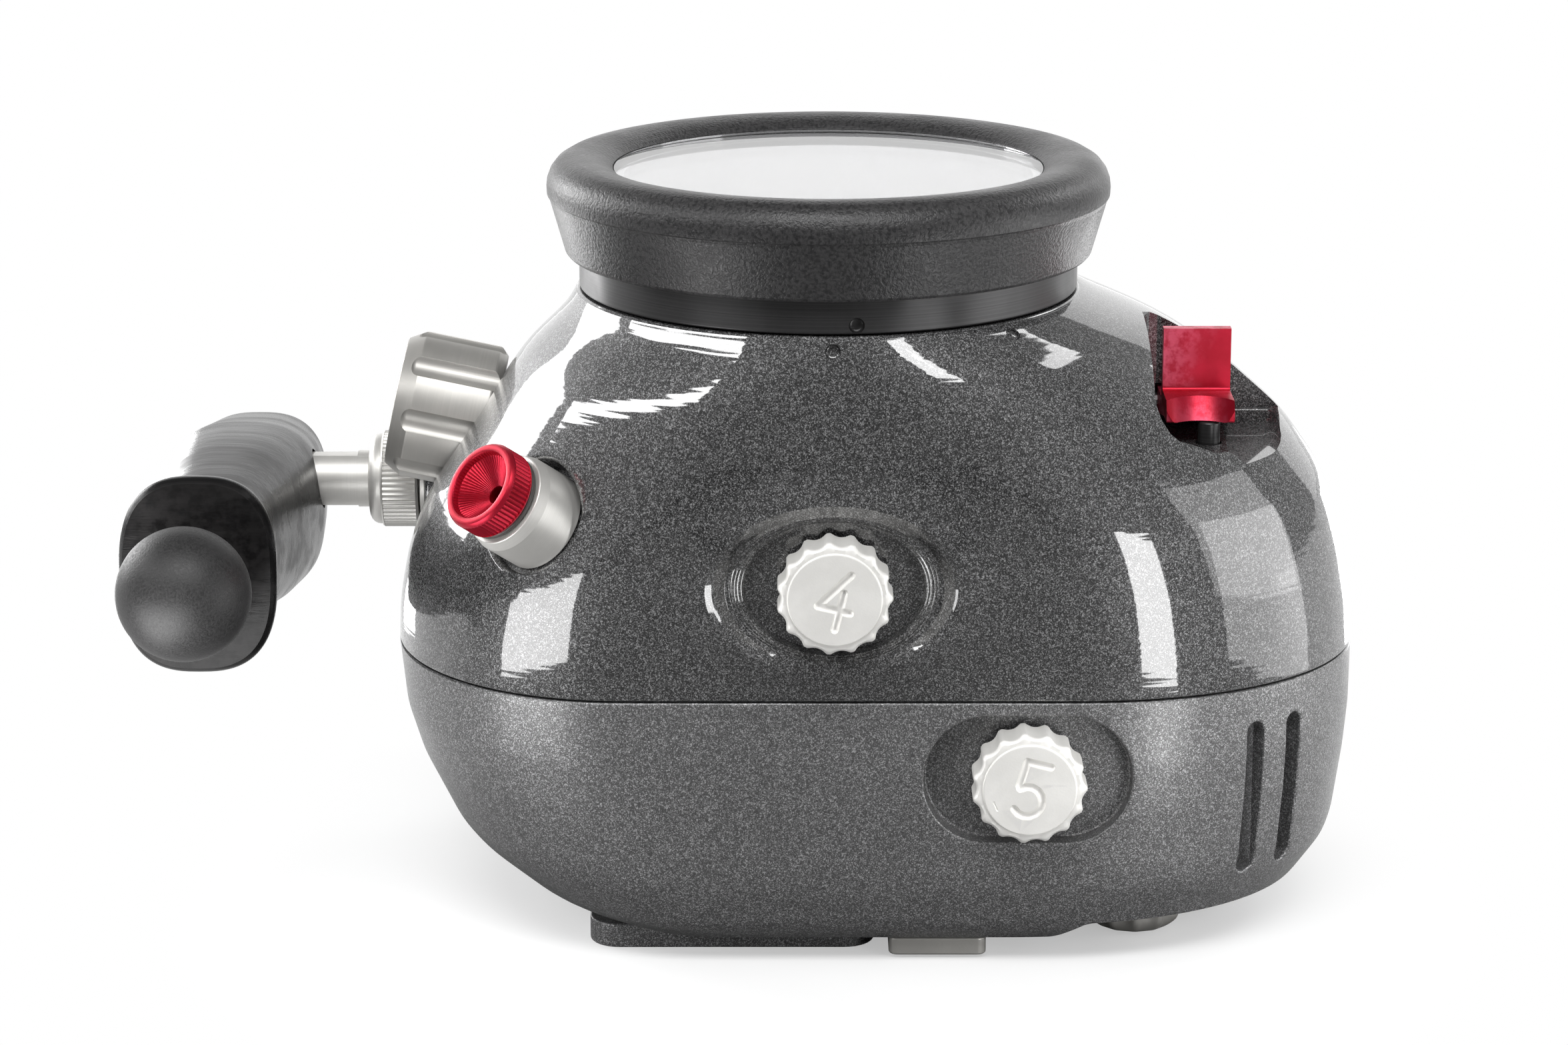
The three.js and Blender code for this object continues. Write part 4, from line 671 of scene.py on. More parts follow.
APERTURE = (0.8, -50.6, 77.0)
HUMP, HUMP_WIDE, HUMP_TALL = 1.5, 33, 24


def with_hump(ring):
    """Swells the wall softly round the aperture recess."""
    away = np.hypot((ring[:, 0] - APERTURE[0]) / HUMP_WIDE, (ring[:, 2] - APERTURE[2]) / HUMP_TALL)
    share = np.clip((1 - away) / 0.45, 0, 1)
    ring[:, 1] -= np.where(ring[:, 1] < 0, HUMP * share * share * (3 - 2 * share), 0)
    return ring


def quarter_turn(radius, steps=4):
    """Inset and rise of a rounded edge."""
    turns = [math.pi / 2 * k / steps for k in range(steps)]
    return [(radius * (1 - math.sin(t)), radius * (1 - math.cos(t))) for t in turns]


def front_outer():
    foot = SEAM + SEAM_GAP
    rings = [at_height(body_outline(front_level(0), inset), foot + rise)
             for inset, rise in quarter_turn(EDGE)]
    for share in np.linspace(.0064, .994, 76):
        height = share * FRONT_HEIGHT
        rings.append(with_hump(at_height(body_outline(front_level(height)), foot + height * .99787)))
    rings += [at_height(body_outline(front_level(FRONT_HEIGHT), inset), NECK_TOP - rise)
              for inset, rise in reversed(quarter_turn(EDGE))]
    return lofted("front_shell_detail", rings)


def rear_outer():
    top = SEAM - SEAM_GAP
    rings = [at_height(body_outline(rear_level(0), inset), top - rise)
             for inset, rise in quarter_turn(EDGE)]
    for share in np.linspace(.009, 1, 60):
        depth = share * REAR_FULL
        rings.append(at_height(body_outline(rear_level(depth)), top - depth * .997))
    return lofted("rear_shell_detail", rings[::-1])


def surface_of(item):
    """What rays are cast at to find the skin."""
    mesh = item.data
    return BVHTree.FromPolygons([v.co[:] for v in mesh.vertices], [p.vertices[:] for p in mesh.polygons])


def skin_height(surface, place, outline):
    """Height of the skin over each point of an outline, in the local frame."""
    start = 90.0
    back = place.inverted()
    direction = place.to_3x3() @ Vector((0, 0, -1))
    heights = []
    for x, y in outline:
        hit = surface.ray_cast(place @ Vector((x, y, start)), direction)[0]
        heights.append((back @ hit).z if hit else np.nan)
    heights = np.array(heights)
    known = ~np.isnan(heights)
    index = np.arange(len(heights))
    return np.interp(index, index[known], heights[known], period=len(heights))


def pocket_tool(name, outline, place, floor, surface, rim, floor_edge=0.0, floor_rings=()):
    """Cutter of a pocket whose rim rolls into the skin. Its radius may vary along the outline."""
    path = np.asarray(outline, float)
    away = outward_normals(path)
    rim = np.broadcast_to(np.asarray(rim, float), (len(path),))
    at_wall = skin_height(surface, place, path)
    beside = skin_height(surface, place, path + away * rim[:, None])
    slope = np.clip((beside - at_wall) / rim, -1.8, 5)
    least = floor + floor_edge + .3
    open_side = at_wall < least + rim
    slope = np.where(at_wall < least, 0, slope)
    at_wall = np.where(open_side, np.maximum(at_wall, least + .4 * rim), at_wall)
    root = np.sqrt(1 + slope ** 2)
    centre = np.maximum(at_wall + slope * rim - rim * root, floor + floor_edge + .02)
    end = np.arctan2(1, -slope)
    levels = list(floor_rings)
    if not levels:
        edges = quarter_turn(floor_edge, 4) if floor_edge else [(0, 0)]
        levels = [(path - away * inset, floor + rise) for inset, rise in edges]
    rings = [(p, np.full(len(path), z)) for p, z in levels]
    for t in np.linspace(0, .9, 7):
        angle = math.pi - t * (math.pi - end)
        rings.append((path + away * (rim * (1 + np.cos(angle)))[:, None], centre + rim * np.sin(angle)))
    reach = np.maximum(1.6 * rim, 1.0)
    out = rim * (1 + np.cos(angle)) + reach * np.sin(angle)
    up = centre + rim * np.sin(angle) - reach * np.cos(angle)
    rings.append((path + away * out[:, None], up))
    rings.append((path + away * out[:, None], up + 40))
    return moved(lofted(name, [np.c_[p, z] for p, z in rings]), place)


# Frames of what is fixed to the body
here = Matrix.Identity(4)
aperture_place = frame_at(APERTURE, (0, -1, 0), (0, 0, 1))
speed_place = frame_at((38, -49.4, 39.1), (0, -1, 0), (0, 0, 1))
dial_place = frame_at((60.6, -27, 8.5), (0, 0, -1), (0, 1, 0))
TILT = math.radians(12)
zoom_out = Vector((-math.cos(TILT), 0, math.sin(TILT)))
zoom_place = frame_at(Vector((-87.3, 15, 97.7)) - zoom_out * 22.3, zoom_out, (0, 1, 0))
sync_out = Vector((-.638, -.537, .552)).normalized()
sync_place = frame_at(Vector((-66.2, -52.0, 97.2)) - sync_out * 7.1, sync_out, (0, 0, 1))
handle_place = frame_at((-82.8, 34, 76.4), (-1, 0, 0), (0, 0, 1))
base_place = frame_at((10, 58, 27), (0, 1, 0), (0, 0, 1))
insert_place = frame_at((10, 58, 27), (0, -1, 0), (0, 0, 1))
strap_place = frame_at((86.8, -40.4, 32.0), (.63, -.776, 0), (0, 0, 1))
hinge_place = frame_at((0, 59.5, SEAM), (1, 0, 0), (0, 0, 1))
lock_place = Matrix.Translation((17, -39.6, 0))
plunger_place = Matrix.Translation((74.55, -16.2, 0))
lever_pin_place = frame_at((0, 3.4, 100.7), (1, 0, 0), (0, 0, 1))
tray_place = frame_at((12, 40, 32), (0, 1, 0), (0, 0, 1))

# Width, height and middle of each window, and how far its ledge reaches under it
WINDOW_LEDGE = 4
windows = {"monitor": (64, 38, -14, 24), "eyepiece": (30, 18, -18, -26)}
button_places = {
    name: Matrix.Translation((x, y, 0)) for name, x, y in (
        ("function_button", 57, -4), ("menu_button", 57, 12), ("playback_button", 57, 28),
        ("record_button", 78, 4), ("select_button", 78, 21.6))}

# Start and end of each hinge knuckle
front_knuckles = [(-7, 27)]
rear_knuckles = [(-21.3, -7.3), (27.3, 41.3)]

# Turns of the three bayonet lugs
lug_turns = [math.pi / 2 + k * 2 * math.pi / 3 for k in range(3)]

# Radii of bores that several pieces share
GLAND_BORE = 5
SHAFT_SOCKET = 2.3
LEVER_PIN_BORE = 1.55
POST_BORE = 6.2


def aperture_tool(surface):
    """Dish round the aperture knob: flat oval floor, short wall, then a broad flank with machining steps.

    The flank is rolled above and below the knob, and a plain slope at its two ends.
    """
    def oval(across, along):
        return oval_outline(across, along, 144)

    foot, top, foot_height = (17.35, 13.05), (24.6, 16.9), 2.2
    outer = skin_height(surface, aperture_place, oval(*top))
    rings = [(16.5, 12.2, 0), (17, 12.7, .12), (17.2, 12.9, .6), (*foot, foot_height)]
    levels = [at_height(oval(a, b), z) for a, b, z in rings]
    ends = (np.abs(oval(*top)[:, 0]) / top[0]) ** 1.5
    for share in np.linspace(.004, 1, 64) ** 1.25:
        turn = min(share / .42, 1)
        rolled = .62 * math.sqrt(1 - (1 - turn) ** 2) + .38 * max(share - .25, 0) / .75
        sloped = np.interp(share, [0, .36, .48, .75, .82, 1], [0, 0, .1, .66, .77, 1])
        step = .07 * math.sin(share * 22 * math.pi) if share < .36 else 0
        levels.append(np.c_[oval(mix(foot[0], top[0], share), mix(foot[1], top[1], share)),
                            foot_height + (outer + .05 - foot_height) * mix(rolled, sloped, ends) + step])
    beyond = oval(top[0] + .8, top[1] + .8)
    levels += [np.c_[beyond, outer + .5], np.c_[beyond, outer + 30]]
    return moved(lofted("aperture dish", levels), aperture_place)


def knuckle(start, end, low, high):
    pin = moved(drum("knuckle", 4, start, end, 40), hinge_place)
    return worked(pin, ("UNION", bar("web", start, end, 49.5, 59.5, low, high)))


def hinge_cuts(knuckles):
    """Room for the knuckles of the other half, and the bore of the pin."""
    tools = [moved(drum("room", 4.6, start - GAP, end + GAP, 40), hinge_place) for start, end in knuckles]
    return tools + [moved(drum("bore", 1.9, -21.6, 41.6, 24), hinge_place)]


def boss(name, radius, bottom, top, place, sides=64):
    return moved(drum(name, radius, bottom, top, sides), place)


def sector(name, inner, outer, middle, arc, bottom, top):
    turns = np.linspace(middle - arc / 2, middle + arc / 2, 13)
    path = [(outer * math.cos(t), outer * math.sin(t)) for t in turns]
    path += [(inner * math.cos(t), inner * math.sin(t)) for t in reversed(turns)]
    return slab(name, path, bottom, top)


def cavity(level, shares, deepest, way):
    """Rings of the inner space, with a broad rim at the seam."""
    def ring(depth, inset):
        return at_height(body_outline(level(max(depth, 0)), inset, 24, 0), SEAM + way * depth)

    return [ring(-4, RIM), ring(8, RIM)] + [ring(share * deepest, WALL) for share in shares]


def front_cavity():
    return lofted("cavity", cavity(front_level, [.22, .42, .58, .72, .84, 1], 62.5, 1))


def rear_cavity():
    deepest = REAR_FULL - 5.4
    end = at_height(body_outline(rear_level(deepest), 10, 24, 0), SEAM - deepest)
    return lofted("cavity", cavity(rear_level, [.3, .55, .8, .93], deepest, -1) + [end])


POCKET_FLOOR = 96.5
POCKET_LEFT, POCKET_RIGHT, POCKET_DEEP = 65.3, 88.8, -39.6
# Share across, share forward and radius of each corner
pocket_plan = [
    (0, 0, .6), (0, 1, 1.2), (.4, .9, 6), (.66, .845, 9), (.9, .76, 4), (.99, .62, 3), (1, 0, 1.5)]


def finger_pocket(surface):
    """Pocket of the shutter lever. Its floor curves up into the lip on the right."""
    corners = [(mix(POCKET_LEFT, POCKET_RIGHT, across), POCKET_DEEP * forward, radius)
               for across, forward, radius in pocket_plan]
    path = spaced(rounded(corners, 6, True), .7)
    if area_of(path) < 0:
        path = path[::-1]
    rim = np.interp(path[:, 0], [POCKET_LEFT, 66.2, 82, 87, POCKET_RIGHT], [1.3, .4, .4, .8, 1.5])
    rim = np.where(path[:, 1] > -1, .4, rim)
    rim = np.convolve(np.r_[rim[-2:], rim, rim[:2]], np.ones(5) / 5, "valid")
    floors = []
    for inset, rise in quarter_turn(3.0, 5):
        ring = path.copy()
        ring[:, 0] = np.minimum(ring[:, 0], POCKET_RIGHT - inset + (ring[:, 0] - 84) * .01)
        floors.append((ring, POCKET_FLOOR + rise * .8))
    return pocket_tool("finger pocket", path, here, POCKET_FLOOR, surface, rim, 2.4, floor_rings=floors)


def index_dot(place, outward):
    """Shallow round mark."""
    mark = turned("dot", rounded([(0, -1.3), (1.5, -1.3, .8), (1.5, 3), (0, 3)], 4), 32)
    return moved(mark, frame_at(place, outward, (0, .2, 1)))


def make_front_shell():
    skin = front_outer()
    surface = surface_of(skin)
    hollow = worked(front_cavity(), ("DIFFERENCE", [
        drum("sleeve", 49.1, 103, 124.4, 96),
        moved(slab("aperture boss", plate_outline(-23.6, 23.6, -15.7, 15.7, 7.85), -6.7, 8), aperture_place),
        boss("zoom boss", 18.45, -5.5, 12, zoom_place),
        boss("sync boss", 14.2, -14.6, 0, sync_place),
        slab("lever boss", plate_outline(59.8, 105.2, -57.2, 11.7, 5), 85.6, 125),
        boss("lock boss", 7, SEAM + SEAM_GAP, SEAM + 14, lock_place),
        bar("lock web", 10, 24, -57.2, -39.6, SEAM + SEAM_GAP, SEAM + 14)]))
    slots = [sector("entry", 43.7, 47.2, turn + math.pi / 4, math.radians(42), 121.2, 129)
             for turn in lug_turns]
    shell = worked(
        skin,
        ("DIFFERENCE", hollow),
        ("UNION", [moved(slab("handle boss", oval_outline(11.5, 11.5, 64), -20, 0, .8), handle_place),
                   *[knuckle(start, end, SEAM + SEAM_GAP, SEAM + 8) for start, end in front_knuckles]]),
        ("DIFFERENCE", [drum("bore", 44, 99, 129, 120), turned("channel", [
            (43.7, 117.5), (47.2, 117.5), (47.2, 121.5), (43.7, 121.5)], 120, True)]),
        ("DIFFERENCE", slots),
        ("DIFFERENCE", [
            aperture_tool(surface),
            boss("bore", GLAND_BORE, -10.7, 4, aperture_place, 32),
            pocket_tool("zoom pocket", oval_outline(15.7, 15.7, 120), zoom_place, 0, surface, .9, .8),
            boss("bore", GLAND_BORE, -9.5, 4, zoom_place, 32),
            pocket_tool("sync pocket", oval_outline(11.1, 11.1, 96), sync_place, -11.2, surface, 1.0, .6),
            boss("bore", 7.7, -22, 0, sync_place, 40),
            finger_pocket(surface),
            bar("lever slot", POCKET_LEFT, 79.8, -5, 6.8, POCKET_FLOOR, 104.4),
            boss("well", 2.6, 91.1, 96.8, plunger_place, 32),
            boss("well", 3.7, 61.2, 91.1, plunger_place, 32),
            boss("pin bore", LEVER_PIN_BORE, 61.3, 83.2, lever_pin_place, 24),
            boss("socket hole", 8.3, -15, 4, handle_place, 48),
            boss("lock hole", 3.8, SEAM - 4, SEAM + 10.2, lock_place, 32)]),
        ("DIFFERENCE", [index_dot((.4, -50.4, 122.3), (0, -.96, .26)),
                        index_dot((34.7, -38.7, 123.2), (.38, -.48, .79))]),
        ("DIFFERENCE", hinge_cuts(rear_knuckles)))
    return fitted(shell, "front_case", front_lacquer, ["front_shell"], crease=28)


def window_outline(name, grow=0, corner=4):
    width, height, x, y = windows[name]
    across, up = width / 2 + grow, height / 2 + grow
    return plate_outline(x - across, x + across, y - up, y + up, corner)


def window_tools(name):
    return [slab("window", window_outline(name, GAP), -4, 6.5),
            slab("window", window_outline(name, -WINDOW_LEDGE), 0, 27)]


def strap_tools(surface):
    tools = []
    for side in (-1, 1):
        outline = plate_outline(side * 5.15 - 2.05, side * 5.15 + 2.05, -15.5, 15.5, 2.04, 10)
        tools.append(pocket_tool("strap slot", spaced(outline, .5), strap_place, -7.4, surface, .45))
    tunnel = slab("strap tunnel", plate_outline(-7.2, 7.2, -15.5, 15.5, 2.04, 8), -7.4, -3.3)
    return tools + [moved(tunnel, strap_place)]


def rear_frame_plate():
    plate = slab("frame plate", plate_outline(-50, 22, -12, 47, 6), 0, 4.9, .5)
    brow = slab("frame brow", plate_outline(-47, 9, -40, 0, 6), 0, 4.9, .5)
    return worked(plate, ("UNION", brow))


def make_rear_shell():
    skin = rear_outer()
    surface = surface_of(skin)
    hollow = worked(rear_cavity(), ("DIFFERENCE", [
        bar("thumb floor", 38, 105.2, -57.2, 59, 4.6, 16.5),
        moved(bar("strap block", -12, 12, -20.6, 22.4, -12, 12), strap_place),
        moved(slab("speed boss", plate_outline(-22, 22, -14.7, 14.7, 6.35), -4.5, 8), speed_place)]))
    outer, inner = body_outline(rear_level(0), 3.2), body_outline(rear_level(0), 6.4)
    groove = worked(
        lofted("groove", [at_height(outer, SEAM - 2.9), at_height(outer, SEAM + 4)]),
        ("DIFFERENCE", lofted("core", [at_height(inner, SEAM - 6.9), at_height(inner, SEAM + 8)])))
    ramp = rounded([(60, 8.5), (50, 8.5, 5), (44, 4.6, 5), (40.5, 4.595)], 6)[1:]
    thumb = [(40.5, -4), (110, -4), (110, 8.5)] + ramp
    recess = moved(slab("thumb recess", thumb, -110, 110), frame_at((0, 0, 0), (0, -1, 0), (0, 0, 1)))
    feet = [bar("tray foot", x - 5, x + 5, 40.3, 52.3, 25.5, 38.5) for x in (-17.6, 41.6)]
    pad = moved(slab("base pad", plate_outline(-28, 28, -13, 13, 6), -8.5, 0, .6), base_place)
    shell = worked(
        skin,
        ("DIFFERENCE", hollow),
        ("UNION", [rear_frame_plate(), *feet, pad, boss("backing", 11.5, -11, -3, base_place, 48),
                   *[knuckle(start, end, SEAM - 8, SEAM - SEAM_GAP) for start, end in rear_knuckles]]),
        ("DIFFERENCE", groove),
        ("DIFFERENCE", recess),
        ("DIFFERENCE", [
            pocket_tool("speed recess", spaced(plate_outline(-20, 20, -12.7, 12.7, 12.69, 24), .8),
                        speed_place, 0, surface, .45, .7),
            boss("bore", GLAND_BORE, -8.5, 4, speed_place, 32),
            boss("bore", GLAND_BORE, -12, 4, dial_place, 32)]),
        ("DIFFERENCE", [tool for name in windows for tool in window_tools(name)]),
        ("DIFFERENCE", [boss("well", 4.5, 4.5, 12, place, 40) for place in button_places.values()]),
        ("DIFFERENCE", [boss("well", 1.6, 8.5, 20.5, place, 20) for place in button_places.values()]),
        ("DIFFERENCE", strap_tools(surface)),
        ("DIFFERENCE", [boss("lock hole", 3.3, -4, 14, lock_place, 32),
                        boss("insert hole", 6.3, -4, 8.3, insert_place, 40)]),
        ("DIFFERENCE", hinge_cuts(front_knuckles)))
    return fitted(shell, "rear_case", rear_lacquer, ["rear_shell"], crease=28)


def make_main_seal():
    """Cord laid along the groove of the rear half."""
    radius, height, sides = 1.25, 53.05, 12
    middle = body_outline(rear_level(0), 4.8)
    away = outward_normals(middle)
    turns = np.linspace(0, 2 * math.pi, sides, endpoint=False)
    rings = [[(point[0] + out[0] * radius * math.cos(t), point[1] + out[1] * radius * math.cos(t),
               height + radius * math.sin(t)) for t in turns] for point, out in zip(middle, away)]
    points = np.array(rings).reshape(-1, 3)
    faces = []
    for i in range(len(rings)):
        this, following = i * sides, (i + 1) % len(rings) * sides
        faces += [(this + k, this + (k + 1) % sides, following + (k + 1) % sides, following + k)
                  for k in range(sides)]
    return fitted(solid("main_seal_cord", points, faces), "rear_case", seal_rubber, ["main_o_ring"])


make_front_shell()
make_rear_shell()
make_main_seal()


# ---------------------------------------------------------------- port

def make_port():
    ring = turned("port_collar", rounded([
        (40.1, 106, .4), (43.7, 106, .4), (43.7, 111), (41.9, 111), (41.9, 113.4), (43.7, 113.4),
        (43.7, 125.3), (49.2, 125.3, .5), (49.2, 147.8, .3), (44.5, 147.8), (44.5, 141.7), (40.1, 141.7, .3)],
        3, True), 144, True)
    lugs = [sector("lug", 43.4, 46.9, turn, math.radians(34), 118, 121) for turn in lug_turns]
    worked(ring, ("UNION", lugs), ("DIFFERENCE", index_dot((4.9, -48.95, 127.0), (.1, -.995, 0))))
    fitted(ring, "port", black_anodised, ["port_ring"])

    skirt = [(49.5, 132, .2), (51.4, 132, .5), (51.95, 132.6, .6), (54.9, 142.9, .5), (55.15, 143.5, .15),
             (55.38, 143.75, .1)]
    crown = [(55.4, 144.0), (55.46, 145.2), (55.3, 146.6), (54.7, 148.2), (53.6, 149.6), (52.0, 150.55),
             (50.2, 150.95), (48.2, 150.95), (46.2, 150.6), (44.4, 150.0), (43.1, 149.25, .4),
             (42.4, 148.65, .2)]
    under = [(42.4, 148.1), (49.5, 148.1)]
    shade = turned("port_shade_rubber", rounded(skirt + crown + under, 4, True), 160, True)
    fitted(shade, "port", shade_rubber, ["port_shade"])

    pane = turned("port_pane", rounded([
        (0, 142), (44.2, 142, .3), (44.2, 147.9, .3), (42.3, 147.9), (42.3, 148.5, .15), (0, 148.5)], 3), 160)
    fitted(pane, "port", port_pane, ["port_glass"])


make_port()


# ---------------------------------------------------------------- knobs

def number_strokes(digit):
    """Strokes of one plain number, in a box one unit high."""
    if digit == 4:
        return [[(.16, .5), (-.26, -.16), (.3, -.16)], [(.12, .16), (.12, -.5)]]
    bowl = [(.26 * math.cos(t), -.2 + .27 * math.sin(t)) for t in np.linspace(2.3, -2.4, 12)]
    return [[(.24, .5), (-.18, .5), (-.2, .05)] + bowl]


def groove_tool(path, radius, height):
    """Tube along a flat path, with rounded ends."""
    path = [Vector((x, y, height)) for x, y in path]
    cap = [(1, .02), (.866, .5), (.5, .866), (0, 1)]
    turns = np.linspace(0, 2 * math.pi, 14, endpoint=False)
    parts = []
    for a, b in zip(path, path[1:]):
        along = (b - a).normalized()
        side = along.cross(Vector((0, 0, 1)))
        centres = [(a - along * offset * radius, share * radius) for offset, share in cap]
        centres += [(b + along * offset * radius, share * radius) for offset, share in reversed(cap)]
        parts.append(lofted("groove", [
            [tuple(c + side * r * math.cos(t) + Vector((0, 0, r * math.sin(t)))) for t in turns]
            for c, r in centres]))
    return parts


def scalloped(name, radius, face, foot, top, disc, count, depth, chamfer):
    """Knob with crests and round hollows, a chamfered edge and a raised disc.

    The disc has a radius, a height, and the share of the hollows that reaches it.
    """
    edge, raised, reached = disc
    angles = np.linspace(0, 2 * math.pi, count * 14, endpoint=False)
    place = (angles / (2 * math.pi) * count) % 1
    hollow = np.clip(1 - ((place - .5) / .4) ** 2, 0, 1) ** .9

    def ring(reach, drop, z):
        r = reach - drop * hollow
        return np.stack([r * np.cos(angles), r * np.sin(angles), np.full(len(angles), z)], 1)

    shoulder = top - raised
    rings = [ring(radius - inset, depth, foot + rise) for inset, rise in ((.5, 0), (.1, .2), (0, .6))]
    for t in np.linspace(0, 1, 5):
        rings.append(ring(mix(radius, face, t ** 1.4), mix(depth, depth * reached, t),
                          shoulder - chamfer * (1 - t ** .8)))
    rings += [ring(edge + .12, 0, shoulder + .02), ring(edge, 0, shoulder + .15), ring(edge, 0, top - .25),
              ring(edge - .08, 0, top - .07), ring(edge - .28, 0, top)]
    return lofted(name, rings)


def make_numbered_knobs():
    turn = Matrix.Rotation(math.radians(-14), 4, "Z")
    for name, place, digit in (("aperture", aperture_place, 4), ("speed", speed_place, 5)):
        knob = scalloped(f"{name}_knob_detail", 11, 10.1, 1.9, 10.7, (8.9, .6, .5), 15, .8, 1.0)
        tools = [drum("socket", SHAFT_SOCKET, -2, 6.6, 24)]
        for stroke in number_strokes(digit):
            path = [tuple((turn @ Vector((x * 11, y * 11, 0))).xy) for x, y in stroke]
            tools += groove_tool(path, .85, 10.85)
        if name == "speed":
            tools += groove_tool([(-6.9, -2.2), (-6.2, -3.9)], .2, 10.72)
        worked(knob, ("DIFFERENCE", tools))
        fitted(knob, f"{name}_control", blasted_silver, [f"{name}_knob"], place, crease=40)


def make_dial_knob():
    dial = scalloped("dial_knob_detail", 10, 7.5, 1.9, 7.5, (6.4, .3, .15), 12, 1.0, 2.8)
    worked(dial, ("DIFFERENCE", drum("socket", SHAFT_SOCKET, -2, 5, 24)))
    fitted(dial, "dial_control", dull_silver, ["dial_knob"], dial_place, crease=40)


def make_zoom_knob():
    zoom = turned("zoom_knob_detail", rounded([
        (0, 1.9), (13.3, 1.9, .3), (14.9, 3.5, 1.2), (14.9, 18.8, .8), (12.85, 22.3, .5), (0, 22.3)], 4), 192)
    flute = rounded([(0, -18.0), (3.2, -18.0, 3.19), (3.2, 18.4, 3.19), (0, 18.4)], 10)
    flutes = []
    for k in range(8):
        angle = k / 8 * 2 * math.pi
        place = Matrix.Translation((16.85 * math.cos(angle), 16.85 * math.sin(angle), 2.5))
        flutes.append(moved(turned("flute", flute, 40), place))
    worked(zoom, ("DIFFERENCE", flutes), ("DIFFERENCE", drum("socket", SHAFT_SOCKET, -2, 12.4, 24)))
    fitted(zoom, "zoom_control", dull_silver, ["zoom_knob"], zoom_place, crease=35)


make_numbered_knobs()
make_dial_knob()
make_zoom_knob()


# ---------------------------------------------------------------- sync port

def knurled(name, profile, teeth, depth, band):
    """Turned solid whose band of heights carries straight knurling."""
    sides = teeth * 4
    angles = np.linspace(0, 2 * math.pi, sides, endpoint=False)
    tooth = np.tile([0, .75, 1, .75], teeth)
    rings = []
    for radius, height in profile:
        r = radius - (depth * tooth if band[0] <= height <= band[1] else 0)
        rings.append(np.stack([r * np.cos(angles), r * np.sin(angles), np.full(sides, height)], 1))
    return lofted(name, rings)


def make_sync_port():
    bushing = turned("sync_bushing", rounded([
        (0, -18), (7.1, -18, .3), (7.1, -10.9), (9.75, -10.9, .3), (9.75, -2.2, .25), (9.1, 0, .3),
        (5.3, 0, .3), (5.3, -12.6), (0, -12.6)], 4), 96)
    fitted(bushing, "front_case", turned_silver, ["sync_bulkhead"], sync_place)

    body = knurled("sync_plug_detail", [
        (5, -6), (5, 1.4), (8.2, 1.4), (8.55, 1.6), (8.7, 1.95), (8.7, 2.0), (8.7, 6.1), (8.7, 6.15),
        (8.55, 6.6), (8.2, 7.0), (7.9, 7.1), (7.2, 7.1), (6.95, 7.02), (6.82, 6.8), (6.8, 5.75), (6.5, 5.5),
        (2.1, 2.2), (2, 2.0), (2, -3)], 64, .28, (1.96, 6.12))
    fitted(body, "plug", red_anodised, ["sync_plug"], sync_place, crease=30)

    seal = turned("sync_plug_seal", rounded([
        (5.3, .15), (8.4, .15, .5), (8.4, 1.25, .5), (5.3, 1.25)], 4, True), 72, True)
    fitted(seal, "plug_seal", seal_rubber, ["sync_plug_o_ring"], sync_place)


make_sync_port()


# ---------------------------------------------------------------- shutter lever

def make_lever():
    knuckle_arc = [(3.4 + 2.8 * math.sin(t), 100.7 - 2.8 * math.cos(t))
                   for t in np.linspace(.15, math.pi - .15, 9)]
    profile = rounded(
        [(-19.8, 101.2, .5), (-13.7, 101.2), (3.4, 97.9, .01)] + knuckle_arc +
        [(3.4, 103.5, .01), (-6.8, 103.5, 1.2), (-6.8, 117.8), (-9.3, 117.8), (-9.3, 105.4, .8),
         (-19.8, 105.4, .5)], 4, True)
    sideways = frame_at((0, 0, 0), (1, 0, 0), (0, 0, 1))
    lever = moved(slab("shutter_lever_detail", profile, 65.9, 79.2), sideways)
    softened(lever, .4, 3, 40)
    # The finger plate is hollowed by a leaning drum that leaves its two corners standing
    width, sag, height = 13.3, 3.4, 4.2
    radius = (width ** 2 / 4 + sag ** 2) / (2 * sag)
    leaning = Matrix.Translation((72.55, -19.8 - radius, 101.2)) @ Matrix.Rotation(
        -math.atan2(sag, height), 4, "X")
    worked(lever, ("DIFFERENCE", [
        boss("pin bore", LEVER_PIN_BORE, 61.9, 83.2, lever_pin_place, 24),
        moved(drum("finger hollow", radius, -8.4, 12.6, 160), leaning)]))
    fitted(lever, "trigger", red_anodised, ["shutter_lever"], crease=30)


def make_plunger():
    plunger = turned("shutter_plunger_detail", rounded([
        (0, 79.9), (1.2, 79.9, .2), (1.2, 95.9), (2.2, 95.9, .2), (2.2, 100.9, .5), (0, 100.9)], 3), 40)
    fitted(plunger, "plunger", black_anodised, ["shutter_plunger"], plunger_place)


make_lever()
make_plunger()


# ---------------------------------------------------------------- handle

# Place along the grip, share of the width, share of the depth
GRIP_LENGTH, GRIP_WIDE, GRIP_DEEP = 115.3, 15.2, 19.1
grip_sections = np.array([
    [0, .93, .94], [.012, 1, 1], [.035, 1, 1], [.055, .9, .92], [.11, .77, .8], [.2, .73, .75],
    [.36, .85, .84], [.52, .99, .92], [.68, 1.08, .95], [.82, 1, .88], [.92, .93, .84], [.97, .84, .78],
    [1, .66, .64]])
swing = Matrix.Translation(handle_place.translation) @ Matrix.Rotation(math.radians(-5), 4, "X")
arm_place = swing @ frame_at((0, 0, 0), (-1, 0, 0), (0, 0, 1))
grip_place = arm_place @ Matrix(((0, 0, -1, 79.3), (0, 1, 0, -6), (1, 0, 0, 38.1), (0, 0, 0, 1)))


def squared(values):
    """Sine or cosine of a circle, pushed outward to that of an oval with full corners."""
    return np.sign(values) * np.abs(values) ** (2 / 2.7)


